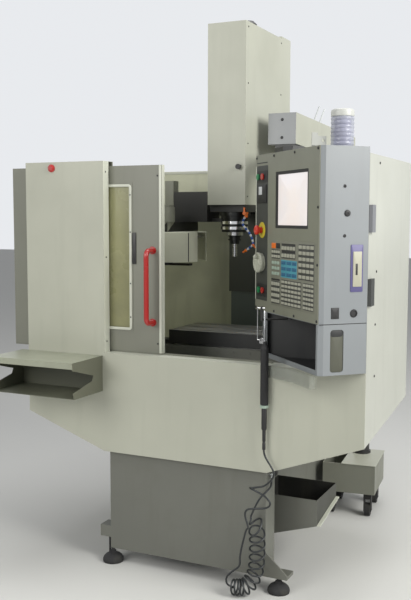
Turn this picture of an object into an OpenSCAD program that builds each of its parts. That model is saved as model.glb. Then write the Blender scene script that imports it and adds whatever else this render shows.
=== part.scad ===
// A compact vertical machining centre: cast base and column, saddle and table, travelling head with
// its tall cover, umbrella tool changer, sheet-metal enclosure with one sliding door, a control
// pendant set into the front right corner, and the coolant tank, chute and cabinet round it.
// The origin is on the floor below the middle of the front panel. +Y runs back into the machine.

/* [Enclosure] */
// Half of the enclosure's width
enc_half_w = 788; // [740:1:860]
// Length of each side wall before it steps in
side_len = 711; // [640:1:740]
// Half of the width behind that step
rear_half_w = 715; // [690:1:735]
// Front panel to rear wall
enc_depth = 940; // [934:1:950]
// Bottom edge of the front panel
panel_bot = 510; // [490:1:560]
// Half of that bottom edge's length
bot_half_w = 385; // [320:1:460]
// Height of the panel's outer lower corners
side_bot = 656; // [610:1:720]
// Top edge of the front panel
panel_top = 952; // [930:1:960]
// Top of the walls
wall_top = 1786; // [1760:1:1850]
// Rise of the chip pan over the side wall's length
pan_rise = 75; // [50:1:90]
// Thickness of the sheet metal
sheet = 3; // [2:0.5:4]
// Depth of the folded edges
fold = 44; // [30:1:44]
// Inner edge of the left front panel, from the middle
panel_edge = 380; // [330:1:420]

/* [Door] */
// Width of the sliding door
door_w = 778; // [700:1:800]
// Right edge of the open door, from the middle
door_edge = 119; // [100:1:160]
// Thickness of the door
door_t = 25; // [18:1:30]
// Gap between the panel's fold and the door
door_gap = 4; // [3:0.5:8]
// Height of the door above its track
door_h = 807; // [780:1:812]
// Window's right edge, from the door's right edge
window_side = 158; // [120:1:200]
// Window's width
window_w = 480; // [380:1:520]
// Window's height
window_h = 611; // [520:1:640]
// Window's bottom above the door's bottom edge
window_low = 105; // [80:1:140]
// Diameter of the door handle's tube
handle_d = 22; // [16:1:28]
// Length of the door handle
handle_len = 311; // [220:1:360]

/* [Pendant] */
// Width of the pendant's face
pend_w = 606; // [600:1:640]
// Depth of the pendant
pend_d = 203; // [180:1:215]
// Underside of the pendant
pend_z = 1147; // [1140:1:1160]
// Height of the pendant
pend_h = 662; // [655:1:690]
// Width of the screen's opening
screen_w = 301; // [280:1:310]
// Diameter of the handwheel
wheel_d = 86; // [70:1:96]
// Diameter of the beacon
beacon_d = 88; // [70:1:110]
// Height of the beacon
beacon_h = 141; // [110:1:170]

/* [Base and column] */
// Half of the front plinth's width
plinth_half_w = 373; // [340:1:384]
// Front plinth's face, behind the front panel
plinth_y = 28; // [25:1:40]
// Gap under the base
base_gap = 60; // [50:1:70]
// Half of the casting's width behind the plinth
spine_half_w = 250; // [230:1:262]
// Top of the bed
bed_top = 765; // [755:1:770]
// Diameter of a levelling pad
pad_d = 94; // [70:1:110]
// Half of the column's width
col_half_w = 150; // [146:1:151]
// Depth of the column
col_d = 300; // [260:1:320]
// Top of the column
col_top = 2050; // [2045:1:2060]
// Width of a guide rail
rail_w = 25; // [20:1:26]
// Height of a guide rail
rail_h = 24; // [20:1:25]
// Diameter of the ball screws
screw_d = 25; // [20:1:26]
// Radial clearance of shafts in their bearings
run_fit = 0.05; // [0.02:0.01:0.1]

/* [Table and saddle] */
// Length of the table
table_l = 914; // [860:1:914]
// Depth of the table
table_d = 305; // [290:1:310]
// Top of the table
table_z = 1019; // [1015:1:1022]
// Thickness of the table
table_t = 64; // [60:1:66]
// Width of a T-slot
slot_w = 16; // [12:1:18]
// Spacing of the T-slots
slot_pitch = 110; // [90:1:115]
// Table's centre at rest, right of the spindle
table_x = 203; // [180:1:203]
// Table's centre at rest, in front of the spindle
table_back = 34; // [30:1:40]
// Half of the saddle's length
saddle_half_l = 290; // [286:1:320]
// Half of the saddle's depth
saddle_half_d = 160; // [154:1:170]
// Thickness of the saddle
saddle_t = 78; // [74:1:80]

/* [Head and spindle] */
// Spindle axis behind the front panel
spindle_y = 554; // [550:1:560]
// Spindle nose above the floor
nose_z = 1460; // [1458:1:1466]
// Radius of the spindle
spindle_r = 40; // [34:1:40]
// Radius of the bearing cartridge's nose
nose_r = 66; // [60:1:68]
// Half of the head cover's width
cover_half_w = 94.5; // [92:0.5:96]
// Head cover's front face, in front of the spindle axis
cover_front = 102; // [96:1:110]
// Bottom of the head cover
cover_bot = 1602; // [1596:1:1610]
// Height of the head cover
cover_h = 821; // [780:1:840]
// Spindle motor's axis behind the spindle
motor_back = 206; // [200:1:210]

/* [Tool changer] */
// Radius of the changer's cover
drum_r = 200; // [196:1:204]
// Height of the changer's cover
drum_h = 140; // [130:1:146]
// Pockets round the carousel
pockets = 10; // [8:2:10]
// Radius of the ring of pockets
pocket_ring = 165; // [160:1:166]
// Travel of the changer's slide
shuttle = 203; // [200:1:204]

/* [Tank, cabinet and small parts] */
// Length of the coolant tank
tank_l = 316; // [280:1:400]
// Width of the coolant tank
tank_w = 270; // [220:1:276]
// Height of the tank's walls
tank_h = 152; // [120:1:200]
// Half of the cabinet's width
cab_half_w = 420; // [380:1:440]
// Depth of the cabinet
cab_d = 350; // [300:1:380]
// Height of the cabinet
cab_h = 1240; // [1180:1:1240]
// Width of the side shelf
shelf_w = 430; // [380:1:440]
// Depth of the side shelf
shelf_d = 238; // [200:1:260]
// Diameter of the air hose
hose_d = 8; // [8:1:10]
// Outer diameter of the curly part
curl_d = 70; // [60:1:70]

/* [Hidden] */
$fn = 48;
eps = 0.1;

// colours as the object shows them
cream = [0.74, 0.74, 0.62];
grey = [0.45, 0.46, 0.43];
cast_grey = [0.38, 0.39, 0.36];
pend_grey = [0.56, 0.56, 0.60];
steel = [0.72, 0.73, 0.74];
dark = [0.10, 0.10, 0.11];
red = [0.80, 0.08, 0.08];

// derived places
pan_a = atan(pan_rise / side_len);
side_slope = (side_bot - panel_bot) / (enc_half_w - bot_half_w);
// column's front face, just in front of the rear wall's outer face
col_y = enc_depth - 10;
s2 = sqrt(0.5);
pend_x = enc_half_w - pend_d * s2;
pend_y = -pend_d * s2;
track_top = panel_top + 6;
door_z = track_top + 0.5;
door_y = fold + door_gap;
track_end = 385;
table_y = spindle_y - table_back;
table_bot = table_z - table_t;
saddle_bot = bed_top + 50;
saddle_top = saddle_bot + saddle_t;
screw_x_z = saddle_top + 24;
screw_y_z = bed_top + 25;
screw_z_y = col_y + 55;
screw_r = screw_d / 2;
z_rail_x = 110;
y_rail_x = 180;
x_rail_y = 105;
rail_gap = 0.4;
case_t = 2;
cast_half_w = cover_half_w - case_t;
plate_y = col_y - 62;
plate_t = 22;
head_low = nose_z + 110;
head_high = head_low + 200;
belt_z = head_high + 30;
spin_pulley_r = 45;
motor_pulley_r = 38;
motor_y = spindle_y + motor_back;
mount_y = col_y - 82;
drum_x = -(pocket_ring + shuttle);
drum_z = nose_z - 127;
fork_z = nose_z - 13;
cab_y = col_y + col_d + 15;
beam_z = 1880;
cab_z = beam_z - 40 - cab_h;
// the tank's front right corner, and how far it was pushed in askew
tank_x = spine_half_w + 312;
tank_y = col_y + 146;
tank_z = 123;
tank_turn = 5.7;
gun = [382, -22, 1038];
lever_x = -14;
lever_top = 148;
hook_z = pend_z - 8;
// the gun's hanger on the pendant: along the face, out from it
hook_at = [(-(gun[0] + lever_x - pend_x) + gun[1] - pend_y) * s2,
    (-(gun[0] + lever_x - pend_x) - gun[1] + pend_y) * s2];

// Block between two opposite corners
module blk(a, b) {
    translate(a) cube(b - a);
}

// Children laid on the pendant's face: X along the face, Y outwards, Z up
module on_pendant() {
    translate([pend_x, pend_y, 0]) rotate([0, 0, 135]) children();
}

// Cylinder along X, Y or Z from a start point
module rod_x(p, r, l) { translate(p) rotate([0, 90, 0]) cylinder(r = r, h = l); }
module rod_y(p, r, l) { translate(p) rotate([-90, 0, 0]) cylinder(r = r, h = l); }
module rod_z(p, r, l) { translate(p) cylinder(r = r, h = l); }

// Height of the front panel's lower edge at a distance from the middle
function edge_z(x) = panel_bot + max(0, abs(x) - bot_half_w) * side_slope;

// Everything below the sloped chip pan
module under_pan() {
    far = enc_half_w + 60;
    translate([0, 0, panel_bot]) rotate([pan_a, 0, 0]) translate([0, 1500, -panel_bot])
        rotate([90, 0, 0]) linear_extrude(1600)
            polygon([[-far, -400], [far, -400], [far, edge_z(far)], [bot_half_w, panel_bot],
                [-bot_half_w, panel_bot], [-far, edge_z(far)]]);
}

// Plan of the enclosure, shrunk by an amount
module plan(inset = 0) {
    a = enc_half_w - inset;
    b = rear_half_w - inset;
    step = enc_half_w - rear_half_w;
    polygon([[-a, 0], [a, 0], [a, side_len], [b, side_len + step], [b, enc_depth - inset],
        [-b, enc_depth - inset], [-b, side_len + step], [-a, side_len]]);
}

// Row of bolt heads along X on a face that looks to -Y
module bolts_x(x0, x1, n, y, z, r = 5, h = 3) {
    for (i = [0:n - 1]) rod_y([x0 + (x1 - x0) * i / (n - 1), y - h, z], r, h);
}

module base_casting() color(cast_grey) {
    wall = 30;
    difference() {
        union() {
            blk([-plinth_half_w, plinth_y, base_gap], [plinth_half_w, 130, panel_bot - 3]);
            blk([-spine_half_w, 110, base_gap + 40], [spine_half_w, col_y + col_d + 10, bed_top]);
            // blocks over the rear feet
            for (s = [-1, 1]) blk([s * rear_foot - 45, foot_y - 25, base_gap],
                [s * rear_foot + 45, foot_y + 35, base_gap + 41]);
            // right front ear with its gusset
            blk([plinth_half_w - 2, plinth_y, base_gap], [plinth_half_w + 96, 105, base_gap + 14]);
            translate([0, plinth_y + 8, 0]) rotate([90, 0, 0]) linear_extrude(8)
                polygon([[plinth_half_w - 2, base_gap], [plinth_half_w + 96, base_gap],
                    [plinth_half_w + 96, base_gap + 16], [plinth_half_w - 2, base_gap + 107]]);
            // left front lug
            blk([-plinth_half_w - 54, plinth_y, base_gap + 48], [-plinth_half_w + 2, 96, base_gap + 100]);
            // ball screw supports on the bed
            for (y = [172, col_y - 37]) blk([-38, y, bed_top], [38, y + 30, saddle_bot - 3]);
        }
        blk([-spine_half_w + wall, 160, base_gap], [spine_half_w - wall, col_y + 250, bed_top - 60]);
        blk([-plinth_half_w + 20, plinth_y + 20, base_gap - 1], [plinth_half_w - 20, 131, panel_bot - 33]);
        blk([-50, 109, screw_y_z - 48], [50, 172, bed_top + 1]);
        rod_y([0, 171, screw_y_z], screw_r + run_fit, col_y - 171);
        blk([-screw_r - 8, 202, bed_top - 1], [screw_r + 8, col_y - 37, bed_top - 0.5]);
    }
}

rear_foot = spine_half_w - 50;
foot_y = col_y + col_d - 25;
module levelling_feet() color(dark) {
    r = pad_d / 2;
    for (p = [[-plinth_half_w + 11, plinth_y + 2], [plinth_half_w + 55, plinth_y + 14],
            [rear_foot, foot_y], [-rear_foot, foot_y]])
        translate([p[0], p[1], 0]) {
            // domed pad, nut and stem
            rotate_extrude() polygon(concat([[0, 0], [r - 2, 0]],
                [for (a = [0:14:70]) [r * cos(a), 8 + 34 * sin(a)]], [[0, 40]]));
            translate([0, 0, 39]) cylinder(r = 15, h = 10, $fn = 6);
            translate([0, 0, 39]) cylinder(r = 8, h = base_gap - 39);
        }
    // jack screw from the left lug down to its pad
    rod_z([-plinth_half_w - 8, plinth_y + 6, 30], 5, base_gap + 48 - 30);
}

module column_casting() color(cast_grey) {
    low = bed_top + 475;
    difference() {
        blk([-col_half_w, col_y, bed_top], [col_half_w, col_y + col_d, col_top]);
        blk([-50, col_y - 1, low + 22], [50, col_y + 110, col_top - 40]);
        rod_z([0, screw_z_y, low], screw_r + run_fit, col_top - low + 1);
        for (i = [0:2]) blk([-col_half_w + 30, col_y + 145, bed_top + 50 + 400 * i],
            [col_half_w - 30, col_y + col_d + 1, bed_top + 410 + 400 * i]);
    }
}

module guide_rails() color(steel) {
    y0 = 180;
    y1 = col_y - 5;
    z0 = bed_top + 535;
    z1 = col_top - 10;
    for (s = [-1, 1]) {
        difference() {
            blk([s * y_rail_x - rail_w / 2, y0, bed_top], [s * y_rail_x + rail_w / 2, y1, bed_top + rail_h]);
            for (y = [y0 + 25:60:y1 - 20]) rod_z([s * y_rail_x, y, bed_top - 1], 4, rail_h + 2);
        }
        difference() {
            blk([s * z_rail_x - rail_w / 2, col_y - rail_h, z0], [s * z_rail_x + rail_w / 2, col_y, z1]);
            for (z = [z0 + 25:60:z1 - 20]) rod_y([s * z_rail_x, col_y - rail_h - 1, z], 4, rail_h + 2);
        }
    }
}

module chip_enclosure() color(cream) {
    // front panel with its folded top edge
    translate([0, sheet, 0]) rotate([90, 0, 0]) linear_extrude(sheet)
        polygon([[-enc_half_w, side_bot], [-bot_half_w, panel_bot], [bot_half_w, panel_bot],
            [enc_half_w, side_bot], [enc_half_w, panel_top], [-enc_half_w, panel_top]]);
    blk([-enc_half_w + sheet, 0, panel_top - sheet],
        [enc_half_w - sheet, door_y + door_t + 10, panel_top]);
    // sloped chip pan, open round the casting
    difference() {
        intersection() {
            translate([0, 0, 0]) linear_extrude(1000) plan(sheet);
            difference() {
                translate([0, 0, sheet]) under_pan();
                under_pan();
            }
        }
        blk([-spine_half_w, 110, 400], [spine_half_w, enc_depth + 1, 900]);
    }
}

module side_walls() color(cream) {
    for (s = [-1, 1]) difference() {
        linear_extrude(wall_top) difference() {
            plan();
            plan(sheet);
            translate([-enc_half_w - 1, enc_depth - sheet]) square([2 * enc_half_w + 2, sheet + 1]);
            translate([-enc_half_w - 1, -1]) square([2 * enc_half_w + 2, sheet + 1]);
            translate([s > 0 ? -enc_half_w - 1 : 0, 0]) square([enc_half_w + 1, enc_depth]);
        }
        under_pan();
        // the open door's tail passes in front of the left wall
        if (s < 0) blk([-enc_half_w - 1, 0, panel_top - sheet - 1],
            [-enc_half_w + sheet + 1, door_y + door_t + 10, wall_top + 1]);
    }
}

module rear_wall() color(cream) {
    for (s = [-1, 1]) difference() {
        blk([s > 0 ? col_half_w : -rear_half_w, enc_depth - sheet, panel_bot],
            [s > 0 ? rear_half_w : -col_half_w, enc_depth, wall_top]);
        under_pan();
        blk([-spine_half_w, enc_depth - sheet - 1, 0], [spine_half_w, enc_depth + 1, bed_top]);
        // opening for the tool changer's bracket
        blk([-col_half_w - 14, enc_depth - sheet - 1, head_low - 4],
            [-col_half_w + 1, enc_depth + 1, head_low + 114]);
        translate([0, 0, sheet]) under_pan();
    }
}

module left_front_panel() {
    color(cream) difference() {
        blk([-enc_half_w, 0, panel_top], [-panel_edge, fold, wall_top]);
        blk([-enc_half_w + sheet, sheet, panel_top - 1], [-panel_edge - sheet, fold + 1, wall_top - sheet]);
    }
    // round signal cap near the panel's top edge
    color(red) translate([-647, 0, wall_top - 27]) rotate([90, 0, 0]) {
        cylinder(r = 17, h = 5);
        translate([0, 0, 5]) cylinder(r1 = 17, r2 = 9, h = 5);
    }
}

module door_tracks() color(grey) {
    y0 = door_y + 3;
    y1 = door_y + door_t - 3;
    // lower track: a channel on the panel's folded edge
    difference() {
        blk([-door_edge - door_w - 2, y0, panel_top], [track_end, y1, track_top]);
        blk([-door_edge - door_w - 3, y0 + 3, panel_top + 3], [track_end + 1, y1 - 3, track_top + 1]);
    }
    // upper guide behind the left front panel, hooked over the door's top edge
    difference() {
        blk([-enc_half_w + sheet, fold, door_z + door_h - 20], [-panel_edge, door_y + door_t + 8, wall_top]);
        blk([-enc_half_w, door_y - 1, door_z + door_h - 21], [-panel_edge + 1, door_y + door_t + 1, wall_top - 3]);
    }
}

// Window opening, grown by an amount on each side
module window_hole(grow, y0, y1) {
    x1 = -door_edge - window_side + grow;
    blk([x1 - window_w - 2 * grow, y0, door_z + window_low - grow],
        [x1, y1, door_z + window_low + window_h + grow]);
}

module door_panel() color(grey) difference() {
    x0 = -door_edge - door_w;
    union() {
        difference() {
            blk([x0, door_y, door_z], [-door_edge, door_y + door_t, door_z + door_h]);
            blk([x0 + 3, door_y + case_t, door_z + 3],
                [-door_edge - 3, door_y + door_t + 1, door_z + door_h - 3]);
        }
        // stiffening frame round the window
        window_hole(16, door_y - 2, door_y + case_t + 8);
    }
    window_hole(0, door_y - 3, door_y + door_t);
    window_hole(8, door_y + case_t, door_y + door_t);
}

module door_window() color([0.55, 0.55, 0.42, 0.6])
    window_hole(8, door_y + case_t, door_y + case_t + 5);

module door_handle() color(red) {
    x = -door_edge - 45;
    z0 = door_z + window_low + 28;
    r = handle_d / 2;
    reach = 58;
    bend = 24;
    yc = door_y - reach;
    rod_z([x, yc, z0 + bend], r, handle_len - 2 * bend);
    for (s = [0, 1]) {
        z = z0 + s * handle_len;
        t = s == 0 ? 1 : -1;
        translate([x, yc + bend, z + t * bend]) rotate([0, 90, 0]) rotate([0, 0, s == 0 ? -90 : 180])
            rotate_extrude(angle = 90) translate([bend, 0]) circle(r = r);
        rod_y([x, yc + bend, z], r, reach - bend);
        rod_y([x, door_y - 4, z], r + 6, 4);
    }
}

// Lower left corner and size of the screen's opening on the pendant's face
scr_x = 101;
scr_z = pend_z + 354;
scr_h = 0.76 * screen_w;
// buttons: distance along the face, height
on_at = [574, pend_z + 569];
off_at = [528, pend_z + 569];
stop_at = [534, pend_z + 344];
wheel_at = [537, pend_z + 206];
start_at = [560, pend_z + 88];
hold_at = [518, pend_z + 88];
button_r = 13;

// bevel of the corner between face and right side: its reach on the face and on the side
bevel_face = 9;
bevel_side = 20;

module pendant_housing() color(pend_grey) on_pendant() difference() {
    slant = bevel_side / bevel_face;
    translate([0, 0, pend_z]) linear_extrude(pend_h)
        polygon([[bevel_face - 3 / slant, -3], [0, -bevel_side], [0, -pend_d], [pend_w, -pend_d], [pend_w, -3]]);
    translate([0, 0, pend_z + case_t]) linear_extrude(pend_h - 2 * case_t)
        polygon([[bevel_face + case_t, 1], [case_t, -bevel_side - 1], [case_t, -pend_d + case_t],
            [pend_w - case_t, -pend_d + case_t], [pend_w - case_t, 1]]);
    // key-lock hole and connector openings in the right side
    translate([-1, -112, pend_z + 414]) rotate([0, 90, 0]) cylinder(r = 9, h = 4);
    translate([-1, -146, pend_z + 38]) rotate([0, 90, 0]) cylinder(r = 14, h = 4);
    translate([-1, -84, pend_z + 19]) cube([4, 34, 43]);
    translate([-1, -177, pend_z + 135]) cube([4, 44, 143]);
}

module pendant_face() color(pend_grey) on_pendant() difference() {
    translate([bevel_face, -3, pend_z]) cube([pend_w - bevel_face, 3, pend_h]);
    translate([scr_x, -4, scr_z]) cube([screen_w, 5, scr_h]);
    for (p = [on_at, off_at, start_at, hold_at])
        translate([p[0], 1, p[1]]) rotate([90, 0, 0]) cylinder(r = button_r - 2.95, h = 5);
    translate([stop_at[0], 1, stop_at[1]]) rotate([90, 0, 0]) cylinder(r = 11.05, h = 5);
    translate([wheel_at[0], 1, wheel_at[1]]) rotate([90, 0, 0]) cylinder(r = 8.05, h = 5);
}

module screen() color([0.92, 0.92, 0.95]) on_pendant() {
    translate([scr_x - 12, -17, scr_z - 12]) cube([screen_w + 24, 10, scr_h + 24]);
    // frame between the glass and the face
    difference() {
        translate([scr_x - 12, -7, scr_z - 12]) cube([screen_w + 24, 4, scr_h + 24]);
        translate([scr_x, -8, scr_z]) cube([screen_w, 6, scr_h]);
    }
}

// Rows of keys: distance of the block's right column, columns, bottom row, rows
module key_block(x, cols, z, rows, w = 20, h = 15, gap = 5) {
    for (i = [0:cols - 1], j = [0:rows - 1])
        translate([x + i * (w + gap), 0.7, z + j * (h + gap)]) cube([w, 1.6, h]);
}

module keypad() color([0.62, 0.61, 0.52]) on_pendant() {
    translate([36, 0, pend_z + 35]) cube([404, 0.8, 268]);
    key_block(44, 5, pend_z + 44, 6);
    key_block(184, 5, pend_z + 44, 4);
    key_block(324, 4, pend_z + 44, 6);
    key_block(196, 4, pend_z + 152, 4);
    key_block(44, 5, pend_z + 172, 6);
    key_block(324, 4, pend_z + 172, 6);
    key_block(196, 4, pend_z + 240, 3);
}

// Plan of the storage box under the pendant, in the machine's own directions
box_back = 225;
box_end = pend_x + pend_y - box_back;

module storage_box() color(pend_grey) {
    t = case_t;
    difference() {
        translate([0, 0, panel_top]) linear_extrude(pend_z - panel_top)
            polygon([[pend_x - bevel_face * s2, pend_y + bevel_face * s2],
                [pend_x + bevel_side * s2, pend_y + bevel_side * s2], [enc_half_w, 0],
                [enc_half_w - sheet, 0], [enc_half_w - sheet, box_back], [box_end, box_back]]);
        translate([0, 0, panel_top + t]) linear_extrude(pend_z - panel_top - 2 * t)
            polygon([[pend_x - (bevel_face + t) * s2, pend_y + (bevel_face + 3 * t) * s2],
                [pend_x + (bevel_side - t) * s2, pend_y + (bevel_side + 3 * t) * s2],
                [enc_half_w - sheet - t, t],
                [enc_half_w - sheet - t, box_back - t], [box_end + 4 * t, box_back - t]]);
        // open front, and the rounded hand hole in the side
        on_pendant() {
            translate([22, -8, panel_top + 20]) cube([458, 9, 172]);
            translate([-1, -105 + 12, pend_z - 22 - 12]) rotate([0, 90, 0])
                linear_extrude(4) offset(12) square([138, 32]);
        }
    }
}

module box_tray() color([0.62, 0.72, 0.58, 0.5]) {
    z0 = panel_top - 47;
    rim = [[384, -0.5], [523, -72], [619, -168], [640, -149], [491.5, -0.5]];
    difference() {
        translate([0, 0, z0]) linear_extrude(panel_top - z0) polygon(rim);
        translate([0, 0, z0 + 2.5]) linear_extrude(panel_top)
            polygon([[397, -4], [523, -68.5], [618, -163], [632, -148], [490, -4]]);
    }
}

// Children laid on the beam: X across, Y along it, Z up from its underside
beam_y = spindle_y + 25;
beam_l = cab_y + 319 - beam_y;
beam_w = 135;
beam_h = 142;
module on_beam() {
    translate([154, beam_y, beam_z]) rotate([-2, 0, 0]) children();
}

module cable_beam() {
    t = 3;
    color(cream) on_beam() difference() {
        cube([beam_w, beam_l, beam_h]);
        translate([t, t, t]) cube([beam_w - 2 * t, beam_l, beam_h - 2 * t]);
        for (z = [30, beam_h - 30]) translate([68, -1, z]) rotate([-90, 0, 0]) cylinder(r = 5, h = 5);
    }
    // two short lifting pegs on the beam's top
    color("white") for (y = [430, 515]) translate([222, beam_y + y, beam_z + beam_h - 6 - y * 0.035])
        rotate([0, 22, 0]) cylinder(r = 4, h = 70);
    // stand on the cabinet
    color(cream) blk([174, cab_y + 60, cab_z + cab_h], [269, cab_y + 200, beam_z - 23]);
}

module pendant_brackets() {
    top = pend_z + pend_h;
    arm_t = 35;
    arm_drop = 36;
    arm_low = beam_z - arm_t - arm_drop + 5.4;
    color(dark) {
        // arm on a block under the beam's end, and the foot that carries the pendant
        on_beam() translate([34, 4, -arm_drop]) cube([97, 57, arm_drop]);
        on_beam() translate([0, 0, -arm_t - arm_drop]) linear_extrude(arm_t)
            polygon([[34, 61], [131, 61], [131, 0], [241, -187], [203, -225], [156, -219], [92, -149], [34, 0]]);
        on_pendant() translate([560, -192, top]) cube([38, 38, arm_low - top]);
    }
    // thin conduit in front of the arm, bent into it at the top
    color("white") on_pendant() {
        translate([590, -132, top]) cylinder(r = 3, h = 33);
        translate([590, -132, top + 30]) rotate([-90, 0, -135]) cylinder(r = 3, h = 36);
    }
    // angle bracket on the pendant's top
    color("silver") on_pendant() {
        translate([60, -64, top]) cube([28, 60, 4]);
        translate([84, -64, top]) difference() {
            union() {
                cube([4, 60, 40]);
                translate([0, 36, 0]) cube([4, 24, 52]);
            }
            translate([-1, 14, 24]) rotate([0, 90, 0]) cylinder(r = 6, h = 6);
        }
    }
    // two brackets on the right wall
    color(grey) for (z = [pend_z + 62, pend_z + 342]) blk([enc_half_w, 3, z], [enc_half_w + 14, 52, z + 104]);
    // hanger rod for the air gun, from the pendant's underside
    color(dark) {
        on_pendant() {
            translate([hook_at[0], -14, hook_z]) rotate([-90, 0, 0]) cylinder(r = 4, h = 14 + hook_at[1]);
            translate([hook_at[0], -14, hook_z - 4]) cylinder(r = 9, h = pend_z - case_t - hook_z + 4);
        }
        // upturned end with a notch for the gun's lever
        difference() {
            rod_z([gun[0] + lever_x, gun[1], hook_z - 4], 5, gun[2] + lever_top + 6 - hook_z + 4);
            blk([gun[0] + lever_x - 6, gun[1] - 3.2, gun[2] + lever_top - 3],
                [gun[0] + lever_x + 6, gun[1] + 3.2, gun[2] + lever_top + 8]);
        }
    }
    // air outlet on the plinth's right side
    color("silver") {
        rod_x([plinth_half_w, 64, 488], 8, 18);
        rod_z([plinth_half_w + 11, 64, 474], 6.5, 14);
    }
}

module beacon() {
    color([0.75, 0.78, 0.90]) on_pendant() translate([69, -123, pend_z + pend_h]) {
        r = beacon_d / 2;
        cylinder(r = r, h = 8);
        cylinder(r = r - 6, h = beacon_h - 30);
        for (i = [0:5]) translate([0, 0, 14 + i * 16]) cylinder(r = r - 1, h = 9);
        translate([0, 0, beacon_h - 34]) cylinder(r = r, h = 26);
        translate([0, 0, beacon_h - 8]) cylinder(r1 = r, r2 = r - 9, h = 8);
    }
}

module fixed_way_covers() color(grey) {
    w = 156;
    // lower cover of the column's guides
    blk([-w, col_y - 58, bed_top + 165], [w, col_y - 55, bed_top + 515]);
    for (s = [-1, 1]) {
        blk([s > 0 ? w - 3 : -w, col_y - 55, bed_top + 165], [s > 0 ? w : -w + 3, col_y, bed_top + 515]);
        blk([s > 0 ? 126 : -w + 3, col_y - 3, bed_top + 165], [s > 0 ? w - 3 : -126, col_y, bed_top + 515]);
    }
    // cover over the front motor
    difference() {
        blk([-200, 44, bed_top], [200, 226, bed_top + 104]);
        blk([-197, 47, bed_top - 1], [197, 227, bed_top + 101]);
        blk([-201, 200, bed_top - 1], [-150, 227, bed_top + 40]);
        blk([150, 200, bed_top - 1], [201, 227, bed_top + 40]);
    }
}

module changer_mount() {
    z = head_low;
    top = z + 101;
    color(dark) {
        blk([-400, mount_y - 148, z - 49], [-214, mount_y, top]);
        blk([-430, mount_y - 88, z - 49], [-120, mount_y, z - 30]);
    }
    color(grey) {
        blk([-450, mount_y - 148, z - 90], [-402, mount_y - 93, z + 157]);
        blk([-450, mount_y - 93, z - 90], [-402, mount_y, z + 93]);
        blk([-440, mount_y - 6, z + 8], [-col_half_w, mount_y + 12, top - 8]);
        blk([-col_half_w - 12, mount_y + 2, z], [-col_half_w, col_y + 170, z + 110]);
    }
}

module control_cabinet() color(cream) {
    difference() {
        blk([-cab_half_w, cab_y, cab_z], [cab_half_w, cab_y + cab_d, cab_z + cab_h]);
        blk([-cab_half_w + sheet, cab_y + sheet, cab_z + sheet],
            [cab_half_w - sheet, cab_y + cab_d + 1, cab_z + cab_h - sheet]);
    }
    // stays to the column's back
    for (z = [bed_top + 20, col_top - 400]) blk([-90, col_y + col_d, z], [90, cab_y, z + 60]);
    // panel with the drives and the power supply
    blk([-360, cab_y + sheet, cab_z + 60], [360, cab_y + 12, cab_z + cab_h - 60]);
    for (i = [0:3]) blk([-330 + i * 130, cab_y + 12, cab_z + 720], [-230 + i * 130, cab_y + 190, cab_z + 1080]);
    blk([-330, cab_y + 12, cab_z + 140], [60, cab_y + 150, cab_z + 560]);
    // hinge leaves
    for (z = [160, cab_h - 240]) rod_z([-cab_half_w - 7, cab_y + cab_d + 2, cab_z + z], 6, 39.7);
    for (z = [160, cab_h - 240]) blk([-cab_half_w - 7, cab_y + cab_d - 30, cab_z + z],
        [-cab_half_w, cab_y + cab_d - 3.5, cab_z + z + 39.7]);
}

module cabinet_door() color(cream) {
    y = cab_y + cab_d + 1;
    difference() {
        blk([-cab_half_w + 1, y, cab_z + 1], [cab_half_w, y + 18, cab_z + cab_h - 1]);
        blk([-cab_half_w + 20, y - 1, cab_z + 20], [cab_half_w - 20, y + 16, cab_z + cab_h - 20]);
        rod_y([cab_half_w - 60, y + 10, cab_z + 700], 10 + run_fit, 10);
        for (i = [0:9]) blk([-200, y + 10, cab_z + 120 + i * 26], [200, y + 19, cab_z + 130 + i * 26]);
    }
    for (z = [160, cab_h - 240]) {
        rod_z([-cab_half_w - 7, y + 1, cab_z + z + 40], 6, 40);
        blk([-cab_half_w - 7, y + 1, cab_z + z + 40], [-cab_half_w + 1, y + 7, cab_z + z + 80]);
    }
}

module disconnect_handle() color(red) {
    y = cab_y + cab_d + 19;
    rod_y([cab_half_w - 60, y - 8, cab_z + 700], 10, 18);
    rod_y([cab_half_w - 60, y + 0.3, cab_z + 700], 24, 8);
    blk([cab_half_w - 67, y + 8.3, cab_z + 655], [cab_half_w - 53, y + 26, cab_z + 745]);
}

module coolant_tank() translate([tank_x, tank_y, tank_z]) rotate(tank_turn) {
    wall = 3;
    color(cream) {
        difference() {
            blk([-tank_w, 0, 0], [0, tank_l, tank_h]);
            blk([-tank_w + wall, wall, wall], [-wall, tank_l - wall, tank_h + 1]);
        }
        // lid over the right part
        blk([-tank_w + 96, -4, tank_h], [4, tank_l + 4, tank_h + wall]);
    }
    // casters
    color(dark) for (x = [-tank_w + 40, -40], y = [45, tank_l - 45]) {
        rod_x([x - 14, y, 34 - tank_z], 34, 28);
        for (s = [-1, 1]) translate([x + s * 17, y, 60 - tank_z]) cube([5, 40, 70], center = true);
        blk([x - 20, y - 20, 90 - tank_z], [x + 20, y + 20, 0]);
    }
    // pump: flange and motor on the lid
    color(dark) {
        rod_z([-110, tank_l - 66, tank_h + wall], 48, 12);
        rod_z([-110, tank_l - 66, tank_h + wall + 12], 40, 118);
        rod_z([-110, tank_l - 66, tank_h + wall + 130], 34, 16);
    }
}

// Floor of the chip tray at a place, and a block over that floor between two plan corners
function tray_floor(x, y) = 235 + 0.31 * (x - 530) + 0.176 * (y - 225);
module over_floor(a, b, lift, top) {
    plan = [[a[0], a[1]], [b[0], a[1]], [b[0], b[1]], [a[0], b[1]]];
    polyhedron(concat([for (p = plan) [p[0], p[1], tray_floor(p[0], p[1]) + lift]],
        [for (p = plan) [p[0], p[1], top]]),
        [[0, 1, 2, 3], [7, 6, 5, 4], [0, 4, 5, 1], [1, 5, 6, 2], [2, 6, 7, 3], [3, 7, 4, 0]]);
}

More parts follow.
